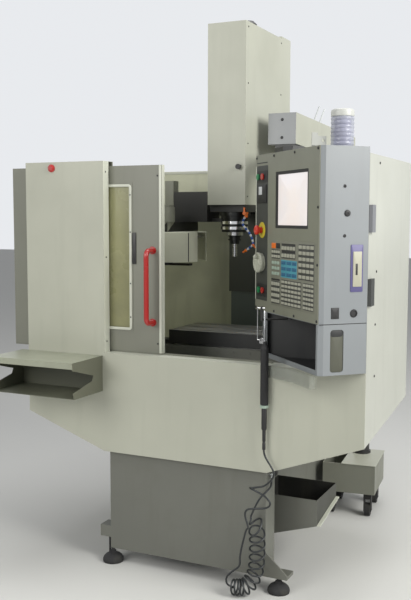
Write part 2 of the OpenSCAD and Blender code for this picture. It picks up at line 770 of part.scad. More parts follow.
// Open tray that hangs on the base under the chip pan
module chip_chute() color(grey) {
    front = 225;
    back = 500;
    x1 = 530;
    top = 348;
    t = case_t;
    difference() {
        over_floor([spine_half_w, front], [x1, back], 0, top);
        over_floor([spine_half_w + t, front + t], [x1 - t, back - t], t, top + 1);
    }
    // folded flange along the lower right edge
    translate([x1, 0, 0]) rotate([90, 0, 90]) linear_extrude(16)
        polygon([[front, tray_floor(x1, front)], [back, tray_floor(x1, back)],
            [back, tray_floor(x1, back) + 3], [front, tray_floor(x1, front) + 3]]);
}

module side_shelf() color(grey) {
    x1 = -panel_edge - 11;
    x0 = x1 - shelf_w;
    top = panel_top - 14;
    t = case_t;
    blk([x0, -shelf_d, top - t], [x1, 0, top]);
    blk([x0, -shelf_d, top - 26], [x1, -shelf_d + t, top]);
    blk([x0, -shelf_d + 14, top - 156], [x1, 0, top - 154]);
    blk([x0, -t, top - 158], [x1, 0, top]);
    for (x = [x0, x1 - t]) translate([x, 0, 0]) rotate([90, 0, 90]) linear_extrude(t)
        polygon([[-shelf_d, top], [-shelf_d + 4, top - 33], [-74, top - 77], [-86, top - 99],
            [-shelf_d + 6, top - 129], [-shelf_d + 13, top - 156], [-3, top - 158], [0, top - 158], [0, top]]);
}

module axis_motors() {
    // Y motor under the front cover
    color(dark) difference() {
        blk([-45, 60, screw_y_z - 45], [45, 172, screw_y_z + 45]);
        rod_y([0, 160, screw_y_z], screw_r + run_fit, 13);
    }
    // Z motor on the column, under its sheet hood
    color(dark) difference() {
        blk([-45, screw_z_y - 45, col_top], [45, screw_z_y + 45, col_top + 150]);
        rod_z([0, screw_z_y, col_top - 1], screw_r + run_fit, 14);
    }
    color(cream) difference() {
        blk([-84, col_y + 2, col_top], [84, col_y + 132, 2440]);
        blk([-82, col_y + 4, col_top - 1], [82, col_y + 130, 2438]);
    }
}

module air_gun() {
    g = gun;
    color(dark) translate(g) {
        // grip with its rear ring, and the slimmer hose connector
        translate([0, 0, -243]) cylinder(r = 16.5, h = 243);
        translate([0, 0, -255]) cylinder(r = 17.5, h = 12);
        translate([0, 0, -345]) cylinder(r = 11, h = 90);
        translate([0, 0, -427]) cylinder(r = 7, h = 82);
    }
    // blow tube, and the two ears that hold the lever's pin
    color(steel) translate(g) {
        cylinder(r = 9, h = 14);
        cylinder(r = 4, h = 138);
        for (y = [-8.5, 5.4]) translate([-20, y, 6]) cube([20, 3.1, 20]);
        rod_y([lever_x, -8.5, 20], 2, 17);
    }
}

// Wire lever that runs up beside the blow tube, ends over the hanger and squeezes towards it
module air_gun_trigger() color(steel) {
    r = 2.5;
    x = -31;
    translate(gun) difference() {
        union() {
            rod_x([x, 0, 20], r, lever_x - x);
            rod_z([x, 0, 20], r, lever_top - 20);
            rod_x([x, 0, lever_top], r, -x);
            translate([x, 0, 20]) sphere(r = r);
            translate([x, 0, lever_top]) sphere(r = r);
            translate([0, 0, lever_top]) sphere(r = r);
            rod_y([lever_x, -5, 20], 5, 10);
        }
        rod_y([lever_x, -6, 20], 2 + run_fit, 12);
    }
}

// Free air hose: route of its plain stretches, in round numbers
lead_route = [[382, -22, 611], [383, -22, 600], [388, -22, 585], [398, -22, 568], [410, -23, 552],
    [421, -24, 536], [427, -24, 520], [420, -20, 498], [402, -18, 476], [381, -18, 460],
    [358, -20, 453], [341, -26, 450],
    [332, -35, 451], [334, -46, 453], [350, -56, 452], [375, -62, 446], [401, -64, 436],
    [420, -64, 421], [428, -64, 408], [423, -64, 395], [404, -64, 385], [378, -64, 380],
    [350, -64, 375], [330, -64, 369], [320, -64, 355], [321, -64, 335], [329, -65, 314],
    [334, -66, 292], [326, -66, 284], [315, -66, 243], [305, -66, 202], [299, -66, 165],
    [299, -66, 138], [292, -66, 122], [276, -66, 108], [260, -66, 94], [246, -66, 79],
    [238, -66, 62], [240, -66, 46], [249, -66, 37], [262, -66, 36]];
tail_route = [[384, 64, 474], [384, 64, 464], [386, 57, 452], [388, 44, 442], [387, 30, 436],
    [383, 15, 429], [376, 4, 421], [367, -3, 411], [358, -6, 398], [350, -7, 384], [343, -8, 370],
    [337, -9, 356], [331, -10, 342], [326, -12, 329], [323, -13, 317]];
curl_route = [[323, -13, 317], [330, -16, 308], [340, -19, 299], [349, -21, 288], [354, -22, 274],
    [356, -22, 255], [357, -22, 221], [357, -22, 179], [356, -23, 140], [353, -26, 108],
    [346, -34, 80], [335, -46, 56], [320, -57, 42], [300, -64, 37], [280, -66, 36], [262, -66, 36]];

// Tube of n sides swept along a list of points
function unit(v) = v / norm(v);
function route_dir(p, i) = unit(p[min(i + 1, len(p) - 1)] - p[max(i - 1, 0)]);
function route_side(p, i) = unit(cross(route_dir(p, i), [0.3, 1, 0.05]));
module tube(p, r, n) {
    rings = [for (i = [0:len(p) - 1], k = [0:n - 1])
        let (a = 360 * k / n, u = route_side(p, i), w = cross(route_dir(p, i), u))
        p[i] + r * (cos(a) * u + sin(a) * w)];
    walls = [for (i = [0:len(p) - 2], k = [0:n - 1])
        let (m = (k + 1) % n) [i * n + k, i * n + m, (i + 1) * n + m, (i + 1) * n + k]];
    ends = [[for (k = [n - 1:-1:0]) k], [for (k = [0:n - 1]) (len(p) - 1) * n + k]];
    polyhedron(rings, concat(walls, ends), convexity = 6);
}

module air_hose_lead() color(dark) {
    tube(lead_route, hose_d / 2, 8);
    tube(tail_route, hose_d / 2, 8);
}

module air_hose_coil() color(dark) tube(curl_route, curl_d / 2, 12);

module saddle() {
    color(cast_grey) difference() {
        union() {
            blk([-saddle_half_l, table_y - saddle_half_d, saddle_bot],
                [saddle_half_l, table_y + saddle_half_d, saddle_top]);
            // carriages for the table's rails and for the bed's rails
            for (x = [-150, 150], s = [-1, 1])
                blk([x - 40, table_y + s * x_rail_y - 30, saddle_top],
                    [x + 40, table_y + s * x_rail_y + 30, table_bot - 10]);
            for (s = [-1, 1], y = [-110, 110])
                blk([s * y_rail_x - 30, table_y + y - 40, bed_top + 4],
                    [s * y_rail_x + 30, table_y + y + 40, saddle_bot]);
            // screw supports and the nut housing
            for (s = [-1, 1]) blk([s * (saddle_half_l - 13) - 13, table_y - 34, saddle_top],
                [s * (saddle_half_l - 13) + 13, table_y + 34, table_bot - 14]);
            blk([-34, table_y - 34, bed_top + 3], [34, table_y + 34, saddle_bot]);
        }
        for (s = [-1, 1]) {
            blk([-200, table_y + s * x_rail_y - rail_w / 2 - rail_gap, table_bot - rail_h - rail_gap],
                [200, table_y + s * x_rail_y + rail_w / 2 + rail_gap, table_bot]);
            blk([s * y_rail_x - rail_w / 2 - rail_gap, table_y - 170, bed_top],
                [s * y_rail_x + rail_w / 2 + rail_gap, table_y + 170, bed_top + rail_h + rail_gap]);
        }
        rod_x([-saddle_half_l - 1, table_y, screw_x_z], screw_r + run_fit, 2 * saddle_half_l + 2);
        rod_y([0, table_y - 40, screw_y_z], screw_r + run_fit, 80);
    }
    // apron under the table's front edge
    color(grey) {
        y = table_y - saddle_half_d;
        blk([-430, y - 3, saddle_top - 40], [430, y, table_bot - 4]);
        bolts_x(-400, 400, 11, y - 3, table_bot - 20);
    }
}

module x_motor() color(dark) {
    x = -saddle_half_l;
    difference() {
        blk([x - 122, table_y - 35, screw_x_z - 35], [x, table_y + 35, screw_x_z + 35]);
        rod_x([x - 13, table_y, screw_x_z], screw_r + run_fit, 14);
    }
}

module table() color(steel) {
    x0 = table_x - table_l / 2;
    x1 = table_x + table_l / 2;
    difference() {
        blk([x0, table_y - table_d / 2, table_bot], [x1, table_y + table_d / 2, table_z]);
        for (i = [-1, 0, 1]) {
            y = table_y + i * slot_pitch;
            blk([x0 - 1, y - slot_w / 2, table_z - 18], [x1 + 1, y + slot_w / 2, table_z + 1]);
            blk([x0 - 1, y - slot_w / 2 - 6, table_z - 30], [x1 + 1, y + slot_w / 2 + 6, table_z - 17]);
        }
    }
    for (s = [-1, 1]) blk([table_x - 440, table_y + s * x_rail_y - rail_w / 2, table_bot - rail_h],
        [table_x + 440, table_y + s * x_rail_y + rail_w / 2, table_bot]);
    difference() {
        blk([table_x - 34, table_y - 34, saddle_top + 3], [table_x + 34, table_y + 34, table_bot]);
        rod_x([table_x - 35, table_y, screw_x_z], screw_r + run_fit, 70);
    }
}

module head_casting() color(cast_grey) difference() {
    union() {
        blk([-140, plate_y, head_low - 30], [140, plate_y + plate_t, head_low + 330]);
        blk([-cast_half_w, spindle_y - 79, head_low], [cast_half_w, plate_y, head_high]);
        // side cheeks and the plate that carries the motor
        for (s = [-1, 1]) translate([s * (cast_half_w - 6), (motor_y - 60 + plate_y) / 2, head_high + 32])
            cube([12, plate_y - motor_y + 60, 66], center = true);
        blk([-cast_half_w, motor_y - 88, head_high + 65], [cast_half_w, plate_y, head_high + 80]);
        // carriages on the column's rails
        for (s = [-1, 1], z = [30, 250])
            blk([s * z_rail_x - 29, plate_y + plate_t, head_low - 30 + z],
                [s * z_rail_x + 29, col_y - 6, head_low + 50 + z]);
        blk([-34, plate_y + plate_t, head_low + 130], [34, screw_z_y + 33, head_low + 190]);
    }
    for (s = [-1, 1]) blk([s * z_rail_x - rail_w / 2 - rail_gap, col_y - rail_h - rail_gap, head_low - 31],
        [s * z_rail_x + rail_w / 2 + rail_gap, col_y, head_low + 331]);
    rod_z([0, screw_z_y, head_low + 129], screw_r + run_fit, 62);
    rod_z([0, spindle_y, head_low - 1], 60, 202);
    rod_z([0, motor_y, head_high + 60], 24, 30);
    for (s = [-1, 1]) translate([s * (cast_half_w - 8), (motor_y + spindle_y) / 2 + 25, head_low + 100])
        cube([20, 120, 120], center = true);
}

module head_cover() {
    y0 = spindle_y - cover_front;
    y1 = col_y - 5;
    t = case_t;
    top = cover_bot + cover_h;
    color(cream) difference() {
        blk([-cover_half_w, y0, cover_bot], [cover_half_w, y1, top]);
        blk([-cover_half_w + t, y0 + t, cover_bot - 1], [cover_half_w - t, y1 + 1, top - t]);
        blk([-cover_half_w - 1, plate_y - 0.5, cover_bot - 1], [cover_half_w + 1, y1 + 1, head_low + 334]);
    }
    // low cap on the top, and the round knob on the front
    color(dark) {
        translate([45, spindle_y + 46, top]) {
            cylinder(r = 38, h = 12);
            translate([0, 0, 12]) cylinder(r1 = 38, r2 = 22, h = 15);
        }
        translate([64, y0, cover_bot + 172]) rotate([90, 0, 0]) {
            cylinder(r = 8, h = 6);
            translate([0, 0, 6]) cylinder(r = 12, h = 12);
        }
    }
}

module spindle_cartridge() color(steel) translate([0, spindle_y, 0]) difference() {
    union() {
        translate([0, 0, head_low]) cylinder(r = 59.95, h = 195);
        translate([0, 0, head_low - 18]) cylinder(r = 74, h = 18);
        translate([0, 0, nose_z + 16]) cylinder(r = nose_r - 4, h = 80);
        for (z = [28, 53]) translate([0, 0, nose_z + z]) cylinder(r = nose_r, h = 13);
        translate([0, 0, nose_z + 78]) cylinder(r = nose_r, h = 16);
    }
    translate([0, 0, nose_z]) cylinder(r = spindle_r + run_fit, h = 320);
}

taper_r = 22.2;
module spindle_shaft() color(steel) translate([0, spindle_y, 0]) difference() {
    union() {
        translate([0, 0, nose_z]) cylinder(r = spindle_r, h = 298);
        translate([0, 0, nose_z + 298]) cylinder(r = 20, h = belt_z - nose_z - 258);
        // toothed pulley with its flanges
        translate([0, 0, belt_z - 18]) cylinder(r = spin_pulley_r, h = 36);
        for (z = [-18, 14]) translate([0, 0, belt_z + z]) cylinder(r = spin_pulley_r + 4, h = 4);
    }
    translate([0, 0, nose_z - eps]) cylinder(r1 = taper_r + 0.3, r2 = 13, h = 70 + eps);
    translate([0, 0, nose_z + 69]) cylinder(r = 13, h = 60);
}

module tool_holder() color(steel) translate([0, spindle_y, nose_z]) {
    // taper and pull stud
    cylinder(r1 = taper_r, r2 = 12.8, h = 68);
    translate([0, 0, 68]) cylinder(r = 8, h = 20);
    // flange with its gripping groove
    translate([0, 0, -5]) cylinder(r = 31.7, h = 4.5);
    translate([0, 0, -18]) cylinder(r = 26.5, h = 18);
    translate([0, 0, -23]) cylinder(r = 31.7, h = 5);
    translate([0, 0, -40]) cylinder(r = 22, h = 18);
    translate([0, 0, -100]) cylinder(r = 12, h = 62);
}

module spindle_motor() color(dark) {
    z = head_high + 80;
    difference() {
        union() {
            translate([0, motor_y, z + 6]) cube([150, 150, 12], center = true);
            for (i = [0:11]) translate([0, motor_y, z + 22 + i * 20])
                cube([150, 150, 12], center = true);
            rod_z([0, motor_y, z], 70, 262);
            rod_z([0, motor_y, z + 262], 52, 24);
        }
        rod_z([0, motor_y, z - 1], 14 + run_fit, 31);
    }
}

module motor_pulley() color(steel) {
    rod_z([0, motor_y, belt_z - 18], motor_pulley_r, 36);
    for (z = [-18, 14]) rod_z([0, motor_y, belt_z + z], motor_pulley_r + 4, 4);
    rod_z([0, motor_y, belt_z - 18], 14, head_high + 108 - belt_z + 18);
}

module drive_belt() color(dark) translate([0, 0, belt_z - 12]) linear_extrude(24) difference() {
    hull() {
        translate([0, spindle_y]) circle(r = spin_pulley_r + 3.7);
        translate([0, motor_y]) circle(r = motor_pulley_r + 3.7);
    }
    hull() {
        translate([0, spindle_y]) circle(r = spin_pulley_r + 0.3);
        translate([0, motor_y]) circle(r = motor_pulley_r + 0.3);
    }
}

// Segmented coolant hose: centres of its ball segments
nozzle_path = [[80, 1556], [72, 1546], [66, 1535], [63, 1523], [65, 1511], [72, 1501], [80, 1492],
    [89, 1483], [97, 1473], [104, 1462], [109, 1450], [113, 1438], [115, 1426], [110, 1415],
    [101, 1407], [91, 1400], [81, 1393]];
module coolant_nozzle() {
    y = spindle_y - 54;
    up = nose_z - 1460;
    color([0.9, 0.4, 0.1]) {
        blk([62, y - 12, head_low - 14], [cast_half_w, y + 8, head_low]);
        rod_y([84, y - 30, head_low - 7], 6, 20);
        translate([76, y, head_low - 22]) cylinder(r = 8, h = 10);
    }
    color([0.15, 0.35, 0.75]) for (p = nozzle_path) translate([p[0], y, p[1] + up]) sphere(r = 7.4);
    color([0.9, 0.4, 0.1]) translate([76, y, 1389.5 + up]) rotate([0, -122, 0])
        cylinder(r1 = 7, r2 = 3.5, h = 22);
}

module coolant_valve_handle() color([0.9, 0.4, 0.1]) {
    y = spindle_y - 54;
    rod_y([84, y - 34, head_low - 7], 8, 3.7);
    blk([80, y - 34, head_low - 7], [88, y - 30.3, head_low + 20]);
}

module upper_way_cover() color(grey) {
    w = 165;
    y = plate_y;
    blk([-w, y - 3, nose_z - 294], [w, y, head_low - 10]);
    for (s = [-1, 1]) blk([s > 0 ? w - 3 : -w, y, nose_z - 294], [s > 0 ? w : -w + 3, y + 12, head_low - 10]);
}

module x_screw() color(steel) rod_x([-300, table_y, screw_x_z], screw_r, 588);
module y_screw() color(steel) rod_y([0, 161, screw_y_z], screw_r, col_y - 12 - 161);
module z_screw() color(steel) rod_z([0, screw_z_y, bed_top + 480], screw_r, col_top + 12 - bed_top - 480);

module changer_slide() {
    z = nose_z + 16;
    top = head_low - 49.3;
    color(grey) {
        blk([drum_x - 32, spindle_y - 45, drum_z + drum_h], [drum_x + 32, mount_y, top]);
    }
    // index motor on the arm, and the carousel's axle
    color(dark) {
        rod_z([drum_x, spindle_y, top], 44, 72);
        blk([drum_x - 30, spindle_y - 30, top + 72], [drum_x + 30, spindle_y + 30, top + 82]);
        rod_z([drum_x, spindle_y, drum_z - 10], 12, drum_h + 10);
        rod_z([drum_x, spindle_y, drum_z - 22], 34, 12);
        blk([drum_x + 20, spindle_y - 20, drum_z - 22], [drum_x + 135, spindle_y + 20, drum_z - 12]);
    }
}

module changer_cover() color(cream) translate([drum_x, spindle_y, drum_z]) difference() {
    cylinder(r = drum_r, h = drum_h, $fn = 96);
    translate([0, 0, -1]) cylinder(r = drum_r - 2, h = drum_h - 1, $fn = 96);
    cylinder(r = 20, h = drum_h + 1);
    // notch that lets the spindle nose reach the pocket
    translate([pocket_ring - 48, -spindle_r - 6, -1]) cube([100, 2 * spindle_r + 12, drum_h + 2]);
}

module carousel_disc() color(steel) translate([drum_x, spindle_y, 0]) difference() {
    union() {
        translate([0, 0, fork_z]) cylinder(r = pocket_ring + 22, h = 6, $fn = 96);
        translate([0, 0, drum_z + 6]) cylinder(r = 42, h = fork_z - drum_z - 5);
    }
    translate([0, 0, drum_z]) cylinder(r = 12 + run_fit, h = drum_h);
    for (i = [0:pockets - 1]) rotate([0, 0, i * 360 / pockets]) {
        translate([pocket_ring, 0, fork_z - 1]) cylinder(r = 27.3, h = 8);
        translate([pocket_ring, -27.3, fork_z - 1]) cube([40, 54.6, 8]);
    }
}

module handwheel() color([0.85, 0.86, 0.80]) on_pendant() translate([wheel_at[0], 0, wheel_at[1]])
    rotate([-90, 0, 0]) {
        translate([0, 0, -12]) cylinder(r = 8, h = 13);
        difference() {
            translate([0, 0, 0.4]) cylinder(r = wheel_d / 2, h = 24);
            translate([0, 0, 18]) cylinder(r = wheel_d / 2 - 7, h = 7);
        }
        translate([0, -(wheel_d / 2 - 19), 18]) cylinder(r = 7, h = 22);
    }

// Push button whose cap stands on the face: place, stem radius, cap radius, cap height, travel gap
module push_button(p, stem, cap, h, gap) {
    on_pendant() translate([p[0], 0, p[1]]) rotate([-90, 0, 0]) {
        translate([0, 0, -14]) cylinder(r = stem, h = 14 + gap);
        translate([0, 0, gap]) cylinder(r = cap, h = h);
    }
}

module e_stop_button() color(red) {
    push_button(stop_at, 11, 14, 10, 7);
    on_pendant() translate([stop_at[0], 17, stop_at[1]]) rotate([-90, 0, 0]) {
        cylinder(r1 = 14, r2 = 20, h = 6);
        translate([0, 0, 6]) cylinder(r = 20, h = 8);
        translate([0, 0, 14]) cylinder(r1 = 20, r2 = 13, h = 4);
    }
}

module power_on_button() color([0.1, 0.5, 0.25]) push_button(on_at, button_r - 3, button_r, 5, 3.5);
module power_off_button() color(red) push_button(off_at, button_r - 3, button_r, 5, 3.5);
module cycle_start_button() color([0.1, 0.5, 0.25]) push_button(start_at, button_r - 3, button_r, 5, 3.5);
module feed_hold_button() color(red) push_button(hold_at, button_r - 3, button_r, 5, 3.5);

base_casting();
levelling_feet();
column_casting();
guide_rails();
chip_enclosure();
side_walls();
rear_wall();
left_front_panel();
door_tracks();
door_panel();
door_window();
door_handle();
pendant_housing();
pendant_face();
screen();
keypad();
storage_box();
box_tray();
cable_beam();
pendant_brackets();
beacon();
fixed_way_covers();
changer_mount();
control_cabinet();
cabinet_door();
disconnect_handle();
coolant_tank();
chip_chute();
side_shelf();
axis_motors();
air_gun();
air_gun_trigger();
air_hose_lead();
air_hose_coil();
saddle();
x_motor();
table();
head_casting();
head_cover();
spindle_cartridge();
spindle_motor();
drive_belt();
coolant_nozzle();
coolant_valve_handle();
upper_way_cover();
spindle_shaft();
tool_holder();
motor_pulley();
x_screw();
y_screw();
z_screw();
changer_slide();
changer_cover();
carousel_disc();
handwheel();
e_stop_button();
power_on_button();
power_off_button();
cycle_start_button();
feed_hold_button();
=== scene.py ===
# Looks of a compact vertical machining centre: paint, machined steel, plastics, hose and keys
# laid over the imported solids, section by section in the order in which the machine is put together.
import math

import bmesh
import bpy
import numpy as np
from mathutils import Matrix, Vector


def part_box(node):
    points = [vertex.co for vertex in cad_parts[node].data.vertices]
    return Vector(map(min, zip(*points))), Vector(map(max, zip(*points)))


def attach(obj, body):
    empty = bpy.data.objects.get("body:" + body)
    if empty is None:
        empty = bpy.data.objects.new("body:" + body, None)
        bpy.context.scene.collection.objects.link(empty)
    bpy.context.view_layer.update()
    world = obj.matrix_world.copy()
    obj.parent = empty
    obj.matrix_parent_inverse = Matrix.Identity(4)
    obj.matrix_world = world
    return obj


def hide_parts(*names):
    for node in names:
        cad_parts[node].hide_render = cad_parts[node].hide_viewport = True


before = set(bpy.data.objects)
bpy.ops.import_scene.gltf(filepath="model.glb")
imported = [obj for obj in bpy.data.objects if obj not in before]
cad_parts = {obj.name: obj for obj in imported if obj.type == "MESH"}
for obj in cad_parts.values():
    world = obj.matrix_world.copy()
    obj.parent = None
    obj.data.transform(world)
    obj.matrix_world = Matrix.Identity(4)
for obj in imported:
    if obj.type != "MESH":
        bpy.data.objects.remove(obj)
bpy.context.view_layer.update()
mm = 0.001

# The view: the eye stands to the front right of the machine at head height and looks a little
# down. Yaw is counted from straight ahead towards the left.
eye = Vector((1.636608, -3.219744, 1.545696))
yaw, pitch, roll = (math.radians(a) for a in (25.3667, 5.4623, 0.1159))
ahead = Vector((-math.sin(yaw) * math.cos(pitch), math.cos(yaw) * math.cos(pitch), -math.sin(pitch)))
level = Vector((math.cos(yaw), math.sin(yaw), 0))
above = level.cross(ahead)
side_way = level * math.cos(roll) + above * math.sin(roll)
up_way = above * math.cos(roll) - level * math.sin(roll)
camera = bpy.data.objects.new("view_camera", bpy.data.cameras.new("view_camera"))
bpy.context.scene.collection.objects.link(camera)
camera.matrix_world = Matrix((
    (side_way.x, up_way.x, -ahead.x, eye.x),
    (side_way.y, up_way.y, -ahead.y, eye.y),
    (side_way.z, up_way.z, -ahead.z, eye.z),
    (0, 0, 0, 1)))
sensor_width, focal_pixels, picture_height = 36, 867.82, 600
camera.data.sensor_width = sensor_width
camera.data.lens = sensor_width * focal_pixels / picture_height
camera.data.clip_end = 60
bpy.context.scene.camera = camera


# Air hose: one length of plastic tube that leaves the outlet on the base's right side, comes round
# the corner, hangs down in its own springy coil and climbs in loose bends to the air gun. Extruded,
# wound on a bar and heat-set, so the coil keeps its curl.
def smooth_route(points, step):
    """Cubic through the points (each span blends its four nearest points), sampled every step."""
    p = np.asarray(points, float) * mm
    p = np.vstack([2 * p[0] - p[1], p, 2 * p[-1] - p[-2]])
    t = np.linspace(0, 1, 60, endpoint=False)[:, None]
    a, b, c, d = p[:-3], p[1:-2], p[2:-1], p[3:]
    spans = 0.5 * (2 * b[:, None] + (c - a)[:, None] * t + (2 * a - 5 * b + 4 * c - d)[:, None] * t**2
                   + (3 * b - a - 3 * c + d)[:, None] * t**3)
    line = np.vstack([spans.reshape(-1, 3), p[-2]])
    run = np.concatenate([[0], np.cumsum(np.linalg.norm(np.diff(line, axis=0), axis=1))])
    at = np.linspace(0, run[-1], max(3, round(run[-1] / step) + 1))
    return np.stack([np.interp(at, run, line[:, k]) for k in range(3)], 1)


hose_d = 0.008
coil_r = 0.031
coil_spacing = [0.040, 0.040, 0.039, 0.038, 0.036, 0.034, 0.024, 0.016, 0.012]
outlet_side = [(384, 64, 474), (384, 64, 464), (386, 57, 452), (388, 44, 442), (387, 30, 436),
               (383, 15, 429), (376, 4, 421), (367, -3, 411), (358, -6, 398), (350, -7, 384),
               (343, -8, 370), (337, -9, 356), (331, -10, 342), (326, -12, 329), (323, -13, 317)]
coil_axis = [(323, -13, 317), (330, -16, 308), (340, -19, 299), (349, -21, 288), (354, -22, 274),
             (356, -22, 255), (357, -22, 221), (357, -22, 179), (356, -23, 140), (353, -26, 108),
             (346, -34, 80), (335, -46, 56), (320, -57, 42), (300, -64, 37), (280, -66, 36),
             (262, -66, 36)]
gun_side = [(262, -66, 36), (249, -66, 37), (240, -66, 46), (238, -66, 62), (246, -66, 79),
            (260, -66, 94), (276, -66, 108), (292, -66, 122), (299, -66, 138), (299, -66, 165),
            (305, -66, 202), (315, -66, 243), (326, -66, 284), (334, -66, 292), (329, -65, 314),
            (321, -64, 335), (320, -64, 355), (330, -64, 369), (350, -64, 375), (378, -64, 380),
            (404, -64, 385), (423, -64, 395), (428, -64, 408), (420, -64, 421), (401, -64, 436),
            (375, -62, 446), (350, -56, 452), (334, -46, 453), (332, -35, 451), (341, -26, 450),
            (358, -20, 453), (381, -18, 460), (402, -18, 476), (420, -20, 498), (427, -24, 520),
            (421, -24, 536), (410, -23, 552), (398, -22, 568), (388, -22, 585), (383, -22, 600),
            (382, -22, 611)]


def coil_points(axis, radius, spacing, steps):
    """Helix round a bent axis: axis point + radius * (cos a * side + sin a * other side). The turns
    stand a spacing apart that changes evenly along the axis, the radius grows from nothing over the
    first turn and fades over the last, and where the axis hangs each turn leans forward: its points
    sink by a share of how far they stand out to the front."""
    line = smooth_route(axis, 0.001)
    run = np.linspace(0, 1, len(line))
    stretch = np.linalg.norm(np.diff(line, axis=0), axis=1)
    apart = np.interp(run[1:], np.linspace(0, 1, len(spacing)), spacing)
    turned_by = np.concatenate([[0], np.cumsum(stretch / apart)])
    turns = np.linspace(0, turned_by[-1], round(turned_by[-1] * steps) + 1)
    at = np.interp(turns, turned_by, run)
    centre = np.stack([np.interp(at, run, line[:, k]) for k in range(3)], 1)
    way = np.gradient(centre, axis=0)
    way /= np.linalg.norm(way, axis=1)[:, None]
    side = np.cross(way, [0.3, 1, 0.05])
    side /= np.linalg.norm(side, axis=1)[:, None]
    other = np.cross(way, side)
    fade = np.clip(np.minimum(turns, turns[-1] - turns) / 0.8, 0, 1)
    r = radius * (fade * fade * (3 - 2 * fade))[:, None]
    a = 2 * np.pi * turns[:, None]
    swing = r * (np.cos(a) * side + np.sin(a) * other)
    lean = np.interp(turns, (0, 1.2, 2.2), (0.8, 0.8, 0.35)) * np.abs(way[:, 2])
    swing[:, 2] -= lean * (0.37 * swing[:, 0] - 0.93 * swing[:, 1])
    return centre + swing


hose_line = np.vstack([smooth_route(outlet_side, 0.008)[:-1],
                       coil_points(coil_axis, coil_r, coil_spacing, 24)[:-1],
                       smooth_route(gun_side, 0.008)])
hose_curve = bpy.data.curves.new("air_hose", "CURVE")
hose_curve.dimensions = "3D"
strand = hose_curve.splines.new("POLY")
strand.points.add(len(hose_line) - 1)
strand.points.foreach_set("co", np.hstack([hose_line, np.ones((len(hose_line), 1))]).ravel())
hose_curve.bevel_depth = hose_d / 2
hose_curve.bevel_resolution = 3
hose_curve.use_fill_caps = True
hose = bpy.data.objects.new("air_hose", hose_curve)
bpy.context.scene.collection.objects.link(hose)
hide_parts("air_hose_lead", "air_hose_coil")
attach(hose, "machine")


# Castings: grey iron under a thick coat of workshop paint. The paint is slightly uneven, the
# iron's grain shows through it, and oil and dust gather in patches.
def new_group(name, inputs, outputs):
    """A shader group with these sockets; an input is (name, kind, start value)."""
    group = bpy.data.node_groups.new(name, "ShaderNodeTree")
    for label, kind, value in inputs:
        s = group.interface.new_socket(label, in_out="INPUT", socket_type=kind)
        s.default_value = value
    for label, kind in outputs:
        group.interface.new_socket(label, in_out="OUTPUT", socket_type=kind)
    return group, group.nodes.new("NodeGroupInput"), group.nodes.new("NodeGroupOutput")


def noise(tree, where, scale, detail=3.0):
    """Noise texture at a place; scale is a number or a socket."""
    n = tree.nodes.new("ShaderNodeTexNoise")
    n.inputs["Detail"].default_value = detail
    n.inputs["Roughness"].default_value = 0.55
    tree.links.new(where, n.inputs["Vector"])
    if isinstance(scale, (int, float)):
        n.inputs["Scale"].default_value = scale
    else:
        tree.links.new(scale, n.inputs["Scale"])
    return n.outputs["Fac"]


def between(tree, value, lo, hi, out_lo=0.0, out_hi=1.0):
    """Stretches lo..hi of a value to out_lo..out_hi, clamped."""
    n = tree.nodes.new("ShaderNodeMapRange")
    tree.links.new(value, n.inputs["Value"])
    for label, v in (("From Min", lo), ("From Max", hi), ("To Min", out_lo), ("To Max", out_hi)):
        n.inputs[label].default_value = v
    return n.outputs["Result"]


def blend_colour(tree, amount, first, second, kind="MIX"):
    """Mixes two colours, each a socket or a tuple, by an amount."""
    n = tree.nodes.new("ShaderNodeMix")
    n.data_type = "RGBA"
    n.blend_type = kind
    for socket, v in ((n.inputs[0], amount), (n.inputs[6], first), (n.inputs[7], second)):
        if isinstance(v, (tuple, float)):
            socket.default_value = v if isinstance(v, float) else (*v, 1.0)
        else:
            tree.links.new(v, socket)
    return n.outputs[2]


def times(tree, a, b, op="MULTIPLY"):
    """a times b, or another operation, each a socket or a number."""
    n = tree.nodes.new("ShaderNodeMath")
    n.operation = op
    for socket, v in zip(n.inputs, (a, b)):
        if isinstance(v, (int, float)):
            socket.default_value = v
        else:
            tree.links.new(v, socket)
    return n.outputs[0]


dirt_colour = (0.09, 0.085, 0.06, 1)
painted, gin, gout = new_group(
    "painted_surface",
    [("Paint", "NodeSocketColor", (0.5, 0.5, 0.5, 1)), ("Dirt", "NodeSocketColor", dirt_colour),
     ("Dirt amount", "NodeSocketFloat", 0.2), ("Dirt size", "NodeSocketFloat", 3.0),
     ("Sheen", "NodeSocketFloat", 0.4), ("Grain size", "NodeSocketFloat", 400.0)],
    [("Colour", "NodeSocketColor"), ("Roughness", "NodeSocketFloat"), ("Height", "NodeSocketFloat")])
place = painted.nodes.new("ShaderNodeTexCoord").outputs["Object"]
patches = noise(painted, place, gin.outputs["Dirt size"], 5.0)
runs_at = painted.nodes.new("ShaderNodeMapping")
runs_at.inputs["Scale"].default_value = (9, 9, 1.1)
painted.links.new(place, runs_at.inputs["Vector"])
streaks = noise(painted, runs_at.outputs[0], 1.6, 4.0)
grime = times(painted, between(painted, patches, 0.5, 0.78), gin.outputs["Dirt amount"])
runs = times(painted, between(painted, streaks, 0.52, 0.8), times(painted, gin.outputs["Dirt amount"], 0.8))
cloud = between(painted, noise(painted, place, 1.7), 0.3, 0.7, 0.92, 1.05)
even = blend_colour(painted, 1.0, gin.outputs["Paint"], cloud, "MULTIPLY")
soiled = blend_colour(painted, times(painted, grime, runs, "MAXIMUM"), even, gin.outputs["Dirt"])
painted.links.new(soiled, gout.inputs["Colour"])
painted.links.new(times(painted, gin.outputs["Sheen"], between(painted, patches, 0.3, 0.8, 0.0, 0.18), "ADD"),
                  gout.inputs["Roughness"])
painted.links.new(noise(painted, place, gin.outputs["Grain size"], 2.0), gout.inputs["Height"])


